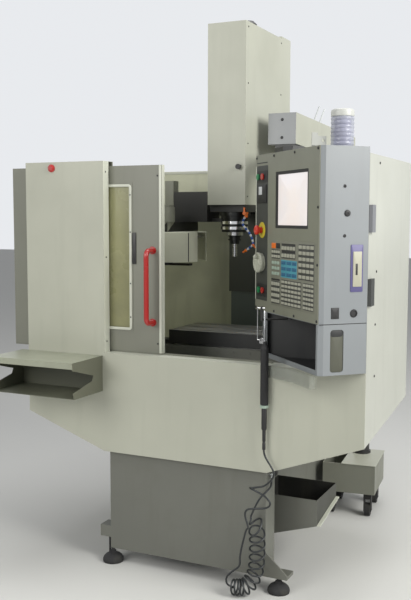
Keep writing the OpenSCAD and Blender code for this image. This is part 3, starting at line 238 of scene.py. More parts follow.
def surface(name, group, settings, bump, depth):
    """Material whose shader takes colour, roughness and a fine bump from a surface group."""
    m = bpy.data.materials.new(name)
    m.use_nodes = True
    t = m.node_tree
    shader = t.nodes["Principled BSDF"]
    g = t.nodes.new("ShaderNodeGroup")
    g.node_tree = group
    for label, value in settings.items():
        g.inputs[label].default_value = value
    b = t.nodes.new("ShaderNodeBump")
    b.inputs["Strength"].default_value = bump
    b.inputs["Distance"].default_value = depth
    t.links.new(g.outputs["Height"], b.inputs["Height"])
    t.links.new(g.outputs["Colour"], shader.inputs["Base Color"])
    t.links.new(g.outputs["Roughness"], shader.inputs["Roughness"])
    t.links.new(b.outputs["Normal"], shader.inputs["Normal"])
    return m, shader


def paint(name, colour, rough=0.42, dirt=0.2, dirt_size=3.0, grain=420.0, bump=0.05, coat=0.0):
    """Painted finish over the shared painted surface; coat adds a clear gloss."""
    m, shader = surface(name, painted, {
        "Paint": (*colour, 1), "Dirt": dirt_colour, "Dirt amount": dirt, "Dirt size": dirt_size,
        "Sheen": rough, "Grain size": grain}, bump, 0.001)
    shader.inputs["Coat Weight"].default_value = coat
    return m


def dress(node, material, *zones):
    """Gives a solid its material; a zone (material, low corner, high corner) in millimetres takes
    the faces whose centres lie in that box, and with a fourth entry, a point, only those that
    look towards it."""
    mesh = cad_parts[node].data
    mesh.materials.clear()
    mesh.materials.append(material)
    if not zones:
        return
    centre = np.empty(len(mesh.polygons) * 3)
    mesh.polygons.foreach_get("center", centre)
    centre = centre.reshape(-1, 3) / mm
    normal = np.empty(len(mesh.polygons) * 3)
    mesh.polygons.foreach_get("normal", normal)
    normal = normal.reshape(-1, 3)
    pick = np.zeros(len(centre), np.int32)
    for m, low, high, *towards in zones:
        mesh.materials.append(m)
        taken = np.all((centre >= low) & (centre <= high), axis=1)
        if towards:
            taken &= ((np.array(towards[0]) - centre) * normal).sum(1) > 0
        pick[taken] = len(mesh.materials) - 1
    mesh.polygons.foreach_set("material_index", pick)


casting_paint = paint("casting_paint", (0.150, 0.153, 0.132), 0.5, 0.3, 4.0, 180.0, 0.35)
black_paint = paint("black_paint", (0.018, 0.018, 0.018), 0.38, 0.1)
pad_rubber = paint("pad_rubber", (0.016, 0.016, 0.017), 0.7, 0.4, 18.0, 600.0, 0.2)
dress("base_casting", casting_paint)
dress("column_casting", casting_paint)
dress("saddle", casting_paint)
dress("head_casting", black_paint)
dress("levelling_feet", pad_rubber)


# Bare steel: guide rails, screws, shafts and pulleys are ground or turned, so fine lines run along
# or round them and the surface mirrors softly.
machined, gin, gout = new_group(
    "machined_lines",
    [("Metal", "NodeSocketColor", (0.6, 0.6, 0.6, 1)), ("Across", "NodeSocketVector", (4, 4, 900)),
     ("Gloss", "NodeSocketFloat", 0.25)],
    [("Colour", "NodeSocketColor"), ("Roughness", "NodeSocketFloat"), ("Height", "NodeSocketFloat")])
place = machined.nodes.new("ShaderNodeTexCoord").outputs["Object"]
stretch = machined.nodes.new("ShaderNodeMapping")
machined.links.new(place, stretch.inputs["Vector"])
machined.links.new(gin.outputs["Across"], stretch.inputs["Scale"])
lines = noise(machined, stretch.outputs[0], 1.0, 3.0)
stain = between(machined, noise(machined, place, 14.0, 4.0), 0.35, 0.75, 1.0, 0.72)
stained = blend_colour(machined, 1.0, gin.outputs["Metal"], stain, "MULTIPLY")
lined = blend_colour(machined, 1.0, stained, between(machined, lines, 0.2, 0.8, 0.88, 1.06), "MULTIPLY")
dulled = times(machined, gin.outputs["Gloss"], between(machined, lines, 0.2, 0.8, 0.0, 0.14), "ADD")
machined.links.new(lined, gout.inputs["Colour"])
machined.links.new(dulled, gout.inputs["Roughness"])
machined.links.new(lines, gout.inputs["Height"])


def bare_metal(name, colour, gloss=0.25, across=(4, 4, 900), bump=0.04):
    """Machined finish: across is the line pattern's frequency along X, Y and Z."""
    settings = {"Metal": (*colour, 1), "Across": across, "Gloss": gloss}
    m, shader = surface(name, machined, settings, bump, 0.0005)
    shader.inputs["Metallic"].default_value = 1.0
    return m


rail_steel = bare_metal("rail_steel", (0.55, 0.56, 0.57), 0.22, (300, 3, 300))
turned_steel = bare_metal("turned_steel", (0.62, 0.62, 0.62), 0.2, (5, 5, 700))
milled_iron = bare_metal("milled_iron", (0.42, 0.42, 0.40), 0.38, (3, 240, 240), 0.08)
chrome_wire = bare_metal("chrome_wire", (0.82, 0.82, 0.83), 0.08, (20, 20, 20), 0.0)
for node in ("guide_rails", "y_screw", "z_screw", "x_screw", "spindle_shaft", "tool_holder",
             "motor_pulley", "carousel_disc"):
    dress(node, rail_steel if node == "guide_rails" else turned_steel)
# The faces at the table's front are painted black: painted shade for the shadow under the table's top edge.
dress("table", milled_iron, (black_paint, (-900, 300, 900), (900, 367.7, 1016)))
for node in ("x_motor", "spindle_motor"):
    dress(node, black_paint)


# Sheet-metal enclosure: folded steel sheets in pale cream paint, screwed together at the corners.
# The faces that look into the enclosure carry a lighter copy of the paint. This is painted light for
# the light that reaches the inside, with more dirt from chips and coolant. A still lighter cream on
# the lit edges is a painted highlight.
cream_paint = paint("cream_paint", (0.455, 0.462, 0.385), 0.34, 0.12, 2.2)
wall_paint = paint("wall_paint", (0.465, 0.475, 0.425), 0.33, 0.14, 2.0)
inside_lit_paint = paint("inside_lit_paint", (0.62, 0.63, 0.48), 0.42, 0.3, 3.0)
highlight_cream = paint("highlight_cream", (0.60, 0.615, 0.53), 0.3, 0.08, 4.0)
cover_paint = paint("cover_paint", (0.44, 0.448, 0.375), 0.34, 0.1, 2.0)
inside = (0, 480, 1200)
dress("chip_enclosure", cream_paint, (inside_lit_paint, (-784, 1, 400), (784, 940, 948), inside),
      (highlight_cream, (-785, -1, 948.5), (785, 90, 952.5)))
dress("side_walls", wall_paint, (inside_lit_paint, (-786, 3, 500), (786, 936, 1785), inside))
dress("rear_wall", wall_paint, (inside_lit_paint, (-720, 930, 500), (720, 937.5, 1786), inside))
red_plastic = paint("red_plastic", (0.42, 0.012, 0.010), 0.25, 0.0, coat=0.6)
# The left panel's right and top edges take the highlight cream, a painted highlight; the red patch is its
# cap.
dress("left_front_panel", cream_paint, (highlight_cream, (-384, 0.5, 950), (-379, 45, 1786)),
      (highlight_cream, (-788, 0.5, 1783), (-380, 45, 1787)),
      (red_plastic, (-666, -11, 1740), (-628, -0.5, 1778)))


def add_piece(name, points, faces, body, material, slot, flat=False):
    """Mesh from arrays of points (n, 3) in metres and quads (m, 4); doubled points are merged and
    the faces turned outwards; the piece rides on its body."""
    mesh = bpy.data.meshes.new(name)
    mesh.from_pydata(np.asarray(points, float), [], np.asarray(faces, int).tolist())
    work = bmesh.new()
    work.from_mesh(mesh)
    bmesh.ops.remove_doubles(work, verts=work.verts, dist=2e-6)
    bmesh.ops.dissolve_degenerate(work, edges=work.edges, dist=1e-7)
    bmesh.ops.recalc_face_normals(work, faces=work.faces)
    work.to_mesh(mesh)
    work.free()
    mesh.materials.append(material)
    if not flat:
        mesh.shade_smooth()
        mesh.set_sharp_from_angle(angle=math.radians(32))
    o = bpy.data.objects.new(name, mesh)
    bpy.context.scene.collection.objects.link(o)
    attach(o, body)
    return o


def quads(rows, cols, loop=True):
    """Faces of a grid of points, closed along its columns if loop."""
    i = np.arange(rows - 1)[:, None] * cols
    j = np.arange(cols if loop else cols - 1)[None]
    k = (j + 1) % cols
    return np.stack([i + j, i + k, i + cols + k, i + cols + j], -1).reshape(-1, 4)


def turned(profile, centre, axis, around=28):
    """Turned part: the profile (radius, height) in millimetres carried once round its axis:
    centre + height * axis + radius * (cos a * side + sin a * other side)."""
    axis = np.asarray(axis, float) / np.linalg.norm(axis)
    side = np.cross(axis, [0.31, 0.17, 0.93] if abs(axis[2]) < 0.9 else [1, 0, 0])
    side /= np.linalg.norm(side)
    other = np.cross(axis, side)
    a = np.linspace(0, 2 * np.pi, around, endpoint=False)
    r, h = np.asarray(profile, float).T
    ring = np.cos(a)[:, None] * side + np.sin(a)[:, None] * other
    p = np.asarray(centre, float) + h[:, None, None] * axis + r[:, None, None] * ring
    return p.reshape(-1, 3) * mm, quads(len(r), around)


def together(parts):
    """One array of points and one of faces from several (points, faces) pairs."""
    points, faces, n = [], [], 0
    for p, f in parts:
        points.append(p)
        faces.append(f + n)
        n += len(p)
    return np.vstack(points), np.vstack(faces)


def corners(width, height, radius, steps):
    """Outline of a rectangle with round corners: the corner centres plus radius * (cos a, sin a)."""
    a = np.linspace(0, np.pi / 2, steps)
    turn = np.arange(4)[:, None] * np.pi / 2 + a[None]
    sx = np.array([1, -1, -1, 1])[:, None]
    sz = np.array([1, 1, -1, -1])[:, None]
    return ((sx * (width / 2 - radius) + radius * np.cos(turn)).ravel(),
            (sz * (height / 2 - radius) + radius * np.sin(turn)).ravel())


def plate(at, along, out, width, height, radius, thick, edge, steps=4, dish=0.0):
    """Rounded plate: its outline carried from the back, up the wall, over a rounded edge and in to
    the middle; dish lifts the middle."""
    along, out, at = (np.asarray(v, float) for v in (along, out, at))
    rise = np.array([0, 0, 1.0])
    rows = []
    for inset, h in ((None, 0), (0, 0), (0, thick - edge), (edge * 0.3, thick - edge * 0.3), (edge, thick),
                     (None, thick + dish)):
        if inset is None:
            x = z = np.zeros(4 * steps)
        else:
            x, z = corners(width - 2 * inset, height - 2 * inset, max(radius - inset, 0.05), steps)
        rows.append(at + x[:, None] * along + z[:, None] * rise + h * out)
    return np.vstack(rows) * mm, quads(len(rows), len(rows[0]))


# Button-head screws with a round socket hold the sheets: head profile from the seat, over the
# crown and down into the socket.
screw_head = [(0, 0), (4.6, 0), (4.9, 0.6), (4.3, 1.8), (3.0, 2.6), (2.3, 2.7), (2.2, 1.2), (0, 1.1)]


def screws(name, places, axis, body, size):
    """A row of black screw heads at these points, all along one axis."""
    head = [(r * size, h * size) for r, h in screw_head]
    add_piece(name, *together([turned(head, p, axis, 12) for p in places]), body, black_paint, "black_steel")


to_right, to_left, to_front = (1, 0, 0), (-1, 0, 0), (0, -1, 0)
wall_x = 788
# The rear wall's top hem is painted in the highlight cream, a painted highlight along its edge.
add_piece("rear_wall_hem", *plate((0, 937, 1778), to_right, to_front, 1410, 14, 1, 1.5, 0.5), "machine",
          highlight_cream, "cream_sheet")
screws("wall_screws", [(wall_x, y, z) for y, z in ((152, 1756), (129, 1335), (124, 1127), (127, 921))],
       to_right, "machine", 1.1)
screws("panel_screws", [(-380, 20, z) for z in (1000, 1370, 1740)], to_right, "machine", 0.8)
screws("left_wall_screws", [(-wall_x, 138, z) for z in (921, 1127, 1335, 1545)], to_left, "machine", 1.1)


# Sliding door: a grey folded frame on a track along the front panel's top edge, a tinted clear
# sheet held behind a bead, and a red powder-coated pull handle bent from tube. The bead, the edge
# strip and the frame's right and top edges are painted in the highlight cream as painted highlights.
door_paint = paint("door_paint", (0.205, 0.208, 0.170), 0.36, 0.16, 2.5)
dress("door_panel", door_paint, (highlight_cream, (-122.5, 46, 958), (-118, 75, 1766)),
      (highlight_cream, (-900, 46, 1765), (-118, 75, 1766)))
dress("door_tracks", door_paint)
dress("door_handle", paint("handle_red", (0.40, 0.012, 0.010), 0.22, 0.0, grain=900.0, bump=0.02, coat=0.7))


def clear_plastic(name, colour, cloud_scale, rough, seen):
    """Clear or tinted plastic: part see-through by alpha, clouded by a noise of this scale."""
    m = paint(name, colour, rough, 0.25, 8.0)
    t = m.node_tree
    shader = t.nodes["Principled BSDF"]
    where = t.nodes.new("ShaderNodeTexCoord").outputs["Object"]
    clouded = between(t, noise(t, where, cloud_scale, 4.0), 0.3, 0.7, seen - 0.06, seen + 0.08)
    t.links.new(clouded, shader.inputs["Alpha"])
    return m


dress("door_window", clear_plastic("window_sheet", (0.30, 0.295, 0.15), 6.0, 0.2, 0.82))


def picture_frame(width, height, bead, thick, at, along, out, radius):
    """Frame of rectangular bead: an outline with rounded corners carried through the section
    (inside back, inside front, outside front, outside back). at is the centre of its back."""
    along, out = np.asarray(along, float), np.asarray(out, float)
    rise = np.array([0, 0, 1.0])
    rows = []
    for grow, h in ((0, 0), (0, thick), (bead * 0.3, thick + 0.8), (bead * 0.7, thick + 0.8), (bead, thick),
                    (bead, 0), (0, 0)):
        x, z = corners(width + 2 * grow, height + 2 * grow, radius + grow, 4)
        rows.append(np.asarray(at, float) + x[:, None] * along + z[:, None] * rise + h * out)
    return np.vstack(rows) * mm, quads(len(rows), len(rows[0]))


door_y = 46
add_piece("window_bead", *picture_frame(480, 611, 11, 3, (-517, door_y, 1369), to_right, to_front, 3.0),
          "door", highlight_cream, "cream_sheet")
screws("bead_screws", [(x, 42.5, z) for x in (-271, -763) for z in (1110, 1257, 1480, 1640)],
       to_front, "door", 0.7)
add_piece("door_edge_strip", *plate((-125.5, door_y, 1362), to_right, to_front, 12, 806, 1.5, 1.2, 0.4),
          "door", highlight_cream, "cream_sheet")
add_piece("catch_plate", *plate((-254, door_y, 1410), to_right, to_front, 19, 136, 3, 2, 0.6),
          "door", black_paint, "black_steel")
screws("door_screws", [(-140, 48, z) for z in (1000, 1720)], to_front, "door", 0.8)


# Head: a cast box on the column's rails, the cartridge with the spindle in it, and a tall cream
# sheet cover with a black knob and a low black cap on its top.
black_plastic = paint("black_plastic", (0.014, 0.014, 0.015), 0.45, 0.05, 10.0, 900.0, 0.12)
dress("head_cover", cover_paint, (black_plastic, (0, 540, 2423.5), (90, 700, 2460)),
      (black_plastic, (45, 425, 1750), (85, 451.6, 1800)))
dress("axis_motors", black_paint, (cover_paint, (-90, 900, 2049), (90, 1100, 2441)))
dress("upper_way_cover", paint("way_cover_paint", (0.075, 0.080, 0.068), 0.4, 0.3, 3.0))
dress("fixed_way_covers", paint("lower_cover_paint", (0.14, 0.165, 0.15), 0.4, 0.3, 3.0))
nose_dark = bare_metal("nose_dark", (0.045, 0.046, 0.045), 0.3, (5, 5, 500))
dress("spindle_cartridge", nose_dark, (chrome_wire, (-70, 480, 1486.5), (70, 630, 1502.5)),
      (chrome_wire, (-70, 480, 1511.5), (70, 630, 1527.5)))
# Two thin steel rods on the dark cartridge are painted highlights: they stand for two bright glints on its
# glossy black surface.
nose_glint_rod = [(0, 0), (4.5, 0), (4.5, 56), (0, 56)]
up = (0, 0, 1)
add_piece("nose_glint_rods", *together([turned(nose_glint_rod, (x, y, 1538), up, 12) for x, y in ((-45, 516), (0, 496))]),
          "head", turned_steel, "machined_steel")
dress("tool_holder", nose_dark, (turned_steel, (-12.5, 530, 1359), (12.5, 580, 1423)))
dress("drive_belt", paint("belt_rubber", (0.012, 0.012, 0.012), 0.75, 0.1, 10.0, 900.0, 0.3))
screws("head_cover_screws", [(94.5, y, z) for y in (480, 850) for z in (1640, 1880)]
       + [(94.5, y, z) for y in (480, 900) for z in (2150, 2400)], to_right, "head", 0.8)


# Coolant hose: moulded ball segments that snap into each other, blue and white by turns, with an
# orange valve at the top and orange nozzles at the ends.
orange_plastic = paint("orange_plastic", (0.75, 0.16, 0.015), 0.3, 0.0, grain=900.0)
blue_plastic = paint("blue_plastic", (0.02, 0.085, 0.36), 0.3, 0.0, grain=900.0)
white_plastic = paint("white_plastic", (0.62, 0.64, 0.66), 0.3, 0.0, grain=900.0)
dress("coolant_valve_handle", orange_plastic)
segment_path = np.array([(80, 1550), (72, 1542), (66, 1532), (63, 1521), (65, 1510), (72, 1500),
                         (80, 1491), (89, 1482), (97, 1472), (104, 1461), (109, 1449), (113, 1437),
                         (115, 1425), (110, 1414), (101, 1406), (91, 1399)], float)
segment = [(0, -5.5), (3.9, -5.5), (5.3, -4), (5.8, -1), (5.5, 2), (4.5, 3.4), (4.3, 5.2), (3.5, 6.2),
           (0, 6.2)]
ways = np.gradient(segment_path, axis=0)
for colour, start, finish in (("blue", 0, blue_plastic), ("white", 1, white_plastic)):
    parts = [turned(segment, (x, 500, z), (dx, 0, dz), 16)
             for (x, z), (dx, dz) in list(zip(segment_path, ways))[start::2]]
    hose_part = add_piece(f"coolant_hose_{colour}", *together(parts), "head", finish, "nozzle_plastic")
    if start == 0:
        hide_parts("coolant_nozzle")
nozzle = [(0, 0), (7.4, 0), (7.4, 5), (5.6, 8), (3.4, 22), (2.4, 22.5), (2.2, 12), (0, 12)]
valve_body = [(0, -12), (7, -12), (7.6, -10), (7.6, 2), (9.5, 3), (9.5, 12), (7.5, 14), (0, 14)]
add_piece("coolant_nozzles", *together([
    turned(nozzle, (83, 500, 1393.5), (-0.85, 0, -0.52), 16),
    turned([(r * 0.9, h) for r, h in nozzle], (113, 500, 1421), (0.65, 0, -0.76), 16),
    turned(valve_body, (80, 500, 1556), up, 20),
    turned([(0, 0), (6, 0), (6, 19), (5, 20), (0, 20)], (84, 490, 1563), to_front, 16)]),
    "head", orange_plastic, "nozzle_plastic")


# Tool changer: a cream drum cover over the steel carousel, carried by a slide under a black
# box, with its index motor above the drum.
# The drum cover is painted far lighter than the head cover's cream: painted light for a drum that stands in
# shade.
drum_lit_paint = paint("drum_lit_paint", (0.80, 0.81, 0.65), 0.34, 0.12, 3.0)
dress("changer_cover", drum_lit_paint)
drum_low, drum_high = (np.array(c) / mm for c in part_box("changer_cover"))
drum_r = (drum_high[1] - drum_low[1]) / 2
drum_mid = np.array([drum_low[0] + drum_r, drum_low[1] + drum_r, (drum_low[2] + drum_high[2]) / 2])
seam_way = np.array([math.cos(math.radians(-30)), math.sin(math.radians(-30)), 0])
seam_at = drum_mid + seam_way * (drum_r - 0.3)
seam_along = (-seam_way[1], seam_way[0], 0)
seam_h = drum_high[2] - drum_low[2] - 4
add_piece("drum_seam", *plate(seam_at, seam_along, seam_way, 5, seam_h, 0.8, 0.8, 0.3), "changer",
          black_paint, "black_steel")
mount_grey = paint("mount_grey", (0.27, 0.275, 0.23), 0.45, 0.2, 4.0)
dress("changer_mount", black_paint, (mount_grey, (-455, 690, 1400), (-401, 850, 1740)),
      (casting_paint, (-401, 849, 1560), (-140, 1110, 1690)))
dress("changer_slide", black_paint, (mount_grey, (-420, 430, 1490), (-280, 610, 1640)))


# Control pendant: a folded grey sheet box turned to face the operator, with a flat front sheet.
# Its own directions: s runs along the face from the near edge, w out of the face, z up.
diag = math.sqrt(0.5)
pendant_d = 203
near_x, near_y = wall_x - pendant_d * diag, -pendant_d * diag
face_out = (-diag, -diag, 0)
face_along = (-diag, diag, 0)
side_out = (diag, -diag, 0)
side_along = (diag, diag, 0)


def on_face(s, w, z):
    """Point on the pendant's face: near edge + s along it + w out of it."""
    return np.array([near_x - diag * s - diag * w, near_y + diag * s - diag * w, z])


def on_side(d, w, z):
    """Point on the pendant's right side: near edge + d back along it + w out of it."""
    return np.array([near_x + diag * d + diag * w, near_y + diag * d - diag * w, z])


def face_plate(s, w, z, *shape, **more):
    """Rounded plate on the pendant's face; shape goes on as plate's width, height and the rest."""
    return plate(on_face(s, w, z), face_along, face_out, *shape, **more)


def side_plate(d, w, z, *shape):
    """Rounded plate on the pendant's right side."""
    return plate(on_side(d, w, z), side_along, side_out, *shape)


pendant_paint = paint("pendant_paint", (0.245, 0.262, 0.275), 0.3, 0.1, 2.5)
face_paint = paint("face_paint", (0.205, 0.21, 0.165), 0.34, 0.12, 3.0)
dress("pendant_housing", pendant_paint)
dress("pendant_face", face_paint)
box_shade = paint("box_shade", (0.022, 0.023, 0.024), 0.5, 0.1)
dress("storage_box", pendant_paint, (box_shade, (260, 222, 953), (786, 224, 1146.5)),
      (box_shade, (783, 0, 953), (785.5, 225, 1146.5)),
      (box_shade, (260, -160, 953.5), (786, 226, 954.5)),
      (box_shade, (260, -160, 1144.5), (786, 226, 1145.5)))
screws("face_screws", [on_face(s, 0, z) for s, z in (
    (598, 1796), (419, 1797), (223, 1798), (22, 1799), (18, 1583), (18, 1368), (18, 1157), (215, 1157),
    (406, 1157), (598, 1157))], face_out, "machine", 1.2)
# The hand hole is a blind recess. A dark olive plate in it is painted shade for the dim inside seen through a
# hole, and a black band along its top is painted shade too.
add_piece("hand_hole", *side_plate(77, -3, 1044, 55, 161, 11.5, 0.4, 0.1), "machine",
          paint("hole_shade_olive", (0.085, 0.088, 0.066), 0.6, 0.6, 12.0), "pendant_grey")
add_piece("hand_hole_top", *side_plate(77, -2.6, 1111, 53, 26, 11, 0.3, 0.1), "machine", box_shade,
          "pendant_grey")
add_piece("box_seam", *side_plate(101.5, 0, 1146, 201, 3, 0.5, 0.5, 0.2), "machine", black_plastic,
          "black_plastic")
screws("side_screws", [on_side(d, 0, z) for d, z in ((100, 1661), (102, 1477))], side_out, "machine", 1.3)

# Display: a glass sheet behind the face, lit from within, with a black sheet frame round it.
display = bpy.data.materials.new("display_glow")
display.use_nodes = True
tree = display.node_tree
shader = tree.nodes["Principled BSDF"]
where = tree.nodes.new("ShaderNodeTexCoord").outputs["Object"]
clouds = between(tree, noise(tree, where, 5.0), 0.3, 0.7)
tone = blend_colour(tree, clouds, (0.90, 0.80, 0.74), (0.84, 0.80, 0.80))
tree.links.new(tone, shader.inputs["Emission Color"])
tree.links.new(blend_colour(tree, 1.0, tone, (0.25, 0.25, 0.25), "MULTIPLY"), shader.inputs["Base Color"])
shader.inputs["Emission Strength"].default_value = 0.8
shader.inputs["Roughness"].default_value = 0.15
screen_w, screen_low, screen_s = 301, 1501, 251.5
screen_z = screen_low + 0.76 * screen_w / 2
glass = add_piece("display_glass", *face_plate(screen_s, -9, screen_z, 304, 232, 3, 2.2, 0.6, dish=0.8),
                  "machine", display, "screen_glass")
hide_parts("screen")
add_piece("display_frame", *picture_frame(273, 204, 20, 3, on_face(screen_s, -6.2, screen_z), face_along,
                                          face_out, 2.0), "machine", black_plastic, "black_plastic")

# Key panel: a cream membrane with embossed keys in blocks, white, grey, orange and blue, over
# dark header bars. The keys are pressed through a printed film.
film = paint("key_film", (0.185, 0.188, 0.148), 0.45, 0.12, 8.0)
cream_key = paint("cream_key", (0.38, 0.38, 0.31), 0.45, 0.1, 20.0)
mint_key = paint("mint_key", (0.33, 0.42, 0.35), 0.45, 0.1, 20.0)
cyan_key = paint("cyan_key", (0.07, 0.30, 0.38), 0.4, 0.1, 20.0)
blue_key = paint("blue_key", (0.025, 0.12, 0.22), 0.4, 0.1, 20.0)
membrane = add_piece("key_panel", *face_plate(238, 0, 1316, 404, 268, 6, 0.8, 0.3), "machine", film,
                     "key_film")
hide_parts("keypad")


def key_block(s0, s1, z0, z1, cols, rows):
    """Keys in a block: cells of equal size, each key filling most of the cell's width and a little
    over half of its height, with a rounded edge."""
    w, h = (s1 - s0) / cols, (z1 - z0) / rows
    return [face_plate(s0 + (i + 0.5) * w, 0.9, z0 + (j + 0.5) * h, w * 0.82, h * 0.58, 2.0, 1.6, 0.7, 3, 0.2)
            for i in range(cols) for j in range(rows)]


def ground(s0, s1, z0, z1):
    """Printed field behind a block of keys."""
    return face_plate((s0 + s1) / 2, 0.7, (z0 + z1) / 2, s1 - s0, z1 - z0, 2, 0.3, 0.1)


cream_blocks = [(44, 178, 1304, 1442, 4, 6), (206, 336, 1380, 1405, 5, 1), (206, 336, 1410, 1434, 5, 1),
                (350, 434, 1376, 1414, 4, 2), (350, 434, 1190, 1284, 4, 4), (152, 334, 1190, 1294, 6, 6),
                (44, 134, 1190, 1294, 4, 6)]
mint_block, jog_block = (352, 432, 1304, 1370, 3, 3), (192, 340, 1303, 1374, 3, 3)
add_piece("key_fields", *together([ground(*b[:4]) for b in cream_blocks]), "machine",
          paint("field_dark", (0.045, 0.047, 0.042), 0.45, 0.1), "key_film")
add_piece("jog_field", *ground(*jog_block[:4]), "machine", cyan_key, "key_film")
add_piece("cream_keys", *together([key for b in cream_blocks for key in key_block(*b)]), "machine",
          cream_key, "key_film")
add_piece("mint_keys", *together(key_block(*mint_block)), "machine", mint_key, "key_film")
add_piece("jog_keys", *together(key_block(*jog_block)), "machine", blue_key, "key_film")
add_piece("orange_key", *face_plate(412, 0.7, 1429, 40, 22, 2, 1.9, 0.7), "machine", orange_plastic,
          "key_film")
add_piece("dark_keys", *together([
    face_plate(368, 0.7, 1429, 36, 22, 2, 1.9, 0.7),
    face_plate(271, 0.7, 1437, 128, 6, 1, 0.5, 0.2),
    face_plate(271, 0.7, 1407, 128, 6, 1, 0.5, 0.2),
    face_plate(392, 0.7, 1290, 84, 7, 1, 0.5, 0.2)]), "machine", black_plastic, "key_film")


# Operator's column: a dark strip beside the display with the power buttons, a meter, the
# emergency stop on its yellow disc, the handwheel and the start and stop buttons.
def strip_with_holes(name, s0, s1, z0, z1, thick, holes, material):
    """Flat strip with round holes, filled between its outline and the hole circles."""
    curve = bpy.data.curves.new(name, "CURVE")
    curve.dimensions = "2D"
    curve.fill_mode = "BOTH"
    curve.extrude = thick / 2 * mm
    x, z = corners(s1 - s0, z1 - z0, 6, 6)
    loops = [np.stack([x + (s0 + s1) / 2, z + (z0 + z1) / 2], 1)]
    a = np.linspace(0, 2 * np.pi, 32, endpoint=False)
    loops += [np.stack([s + r * np.cos(a), h + r * np.sin(a)], 1) for s, h, r in holes]
    for loop in loops:
        line = curve.splines.new("POLY")
        line.points.add(len(loop) - 1)
        flat = np.hstack([loop * mm, np.zeros((len(loop), 1)), np.ones((len(loop), 1))])
        line.points.foreach_set("co", flat.ravel())
        line.use_cyclic_u = True
    source = bpy.data.objects.new(name, curve)
    mesh = bpy.data.meshes.new_from_object(source)
    bpy.data.objects.remove(source)
    co = np.empty(len(mesh.vertices) * 3)
    mesh.vertices.foreach_get("co", co)
    co = co.reshape(-1, 3) / mm
    faces = [list(p.vertices) for p in mesh.polygons]
    points = np.stack([near_x - diag * co[:, 0] - diag * (co[:, 2] + thick / 2),
                       near_y + diag * co[:, 0] - diag * (co[:, 2] + thick / 2), co[:, 1]], 1) * mm
    bpy.data.meshes.remove(mesh)
    mesh = bpy.data.meshes.new(name)
    mesh.from_pydata(points, [], faces)
    work = bmesh.new()
    work.from_mesh(mesh)
    bmesh.ops.remove_doubles(work, verts=work.verts, dist=1e-6)
    bmesh.ops.recalc_face_normals(work, faces=work.faces)
    work.to_mesh(mesh)
    work.free()
    mesh.materials.append(material)
    o = bpy.data.objects.new(name, mesh)
    bpy.context.scene.collection.objects.link(o)
    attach(o, "machine")
    return o


power_z, stop_z, wheel_z, start_z = 1716, 1491, 1353, 1235
stop_s, wheel_s = 534, 537
cap_hole_r, stop_hole_r, wheel_hole_r = 13.7, 14.7, 9
power_pair = [(574, power_z), (528, power_z)]
start_pair = [(560, start_z), (518, start_z)]
power_holes = [(s, z, cap_hole_r) for s, z in power_pair]
start_holes = [(s, z, cap_hole_r) for s, z in start_pair]
strip_dark = paint("strip_dark", (0.040, 0.043, 0.040), 0.42, 0.15, 8.0)
strip_with_holes("operator_strip", 480, 597, 1192, 1762, 1.2,
                 [*power_holes, (stop_s, stop_z, stop_hole_r), (wheel_s, wheel_z, wheel_hole_r),
                  *start_holes], strip_dark)
strip_with_holes("power_plate", 482, 592, 1691, 1741, 1.9, power_holes, black_plastic)
strip_with_holes("start_plate", 482, 592, 1208, 1262, 1.9, start_holes, black_plastic)
# The cream strip along the face's near edge is a painted highlight: the edge catching the light.
add_piece("strip_edge", *face_plate(601.6, 0, 1477, 6, 570, 1, 1.4, 0.5), "machine", highlight_cream,
          "cream_sheet")
ring = [(cap_hole_r, 1.1), (15, 1.1), (16, 1.4), (16.8, 2.2), (16.6, 2.9), (14.1, 2.9), (cap_hole_r, 2.4),
        (cap_hole_r, 1.1)]
add_piece("button_rings", *together([turned(ring, on_face(s, 0, z), face_out, 24)
                                     for s, z in power_pair + start_pair]),
          "machine", black_plastic, "black_plastic")
yellow_plastic = paint("yellow_plastic", (0.55, 0.46, 0.03), 0.35, 0.05)
disc = [(stop_hole_r, 1.1), (33, 1.1), (34, 1.8), (34, 2.6), (33, 3.4), (17, 4.6), (stop_hole_r, 4.6),
        (stop_hole_r, 1.1)]
add_piece("stop_disc", *turned(disc, on_face(stop_s, 0, stop_z), face_out, 40), "machine", yellow_plastic,
          "black_plastic")
add_piece("meter_case", *face_plate(537, 0.6, 1644, 98, 78, 4, 5, 1.2), "machine", black_plastic,
          "black_plastic")
add_piece("meter_window", *face_plate(547, 5.4, 1657, 34, 34, 1.5, 0.7, 0.2), "machine", white_plastic,
          "cream_plastic")
add_piece("slot_line", *face_plate(541, 0, 1774, 112, 4, 1.5, 0.9, 0.3), "machine", black_plastic,
          "black_plastic")
green_plastic = paint("green_plastic", (0.012, 0.20, 0.07), 0.3, 0.0, grain=900.0)
dress("power_on_button", green_plastic)
dress("cycle_start_button", green_plastic)
dress("power_off_button", red_plastic)
dress("feed_hold_button", red_plastic)
dress("e_stop_button", paint("stop_red", (0.60, 0.03, 0.012), 0.22, 0.0, coat=0.5))

# Handwheel: a cream moulded dial with a rim groove, a ring of small black ticks and a spinner knob.
# It stands over the smallest hole of the strip.
dial_plastic = paint("dial_plastic", (0.47, 0.48, 0.40), 0.3, 0.05)
dial = [(0, 0.5), (34, 0.5), (38, 1.2), (39.5, 3), (39.5, 7), (38, 8.4), (38, 10), (42, 12), (43, 14),
        (43, 21), (41.5, 24), (39, 24.6), (36.5, 23.4), (35, 19), (14, 18), (12, 20), (10, 21), (0, 21)]
spinner = [(0, 18), (6.2, 18), (6.2, 22), (7.4, 25), (8, 31), (7.4, 36), (5.2, 39), (0, 40)]
wheel = add_piece("hand_dial", *together([
    turned(dial, on_face(wheel_s, 0, wheel_z), face_out, 48),
    turned(spinner, on_face(wheel_s, 0, wheel_z + 24), face_out, 20)]),
    "handwheel", dial_plastic, "cream_plastic")
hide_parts("handwheel")
tick_r, tick = 39.2, [(0, 24.2), (0.8, 24.2), (0.8, 25.0), (0, 25.0)]
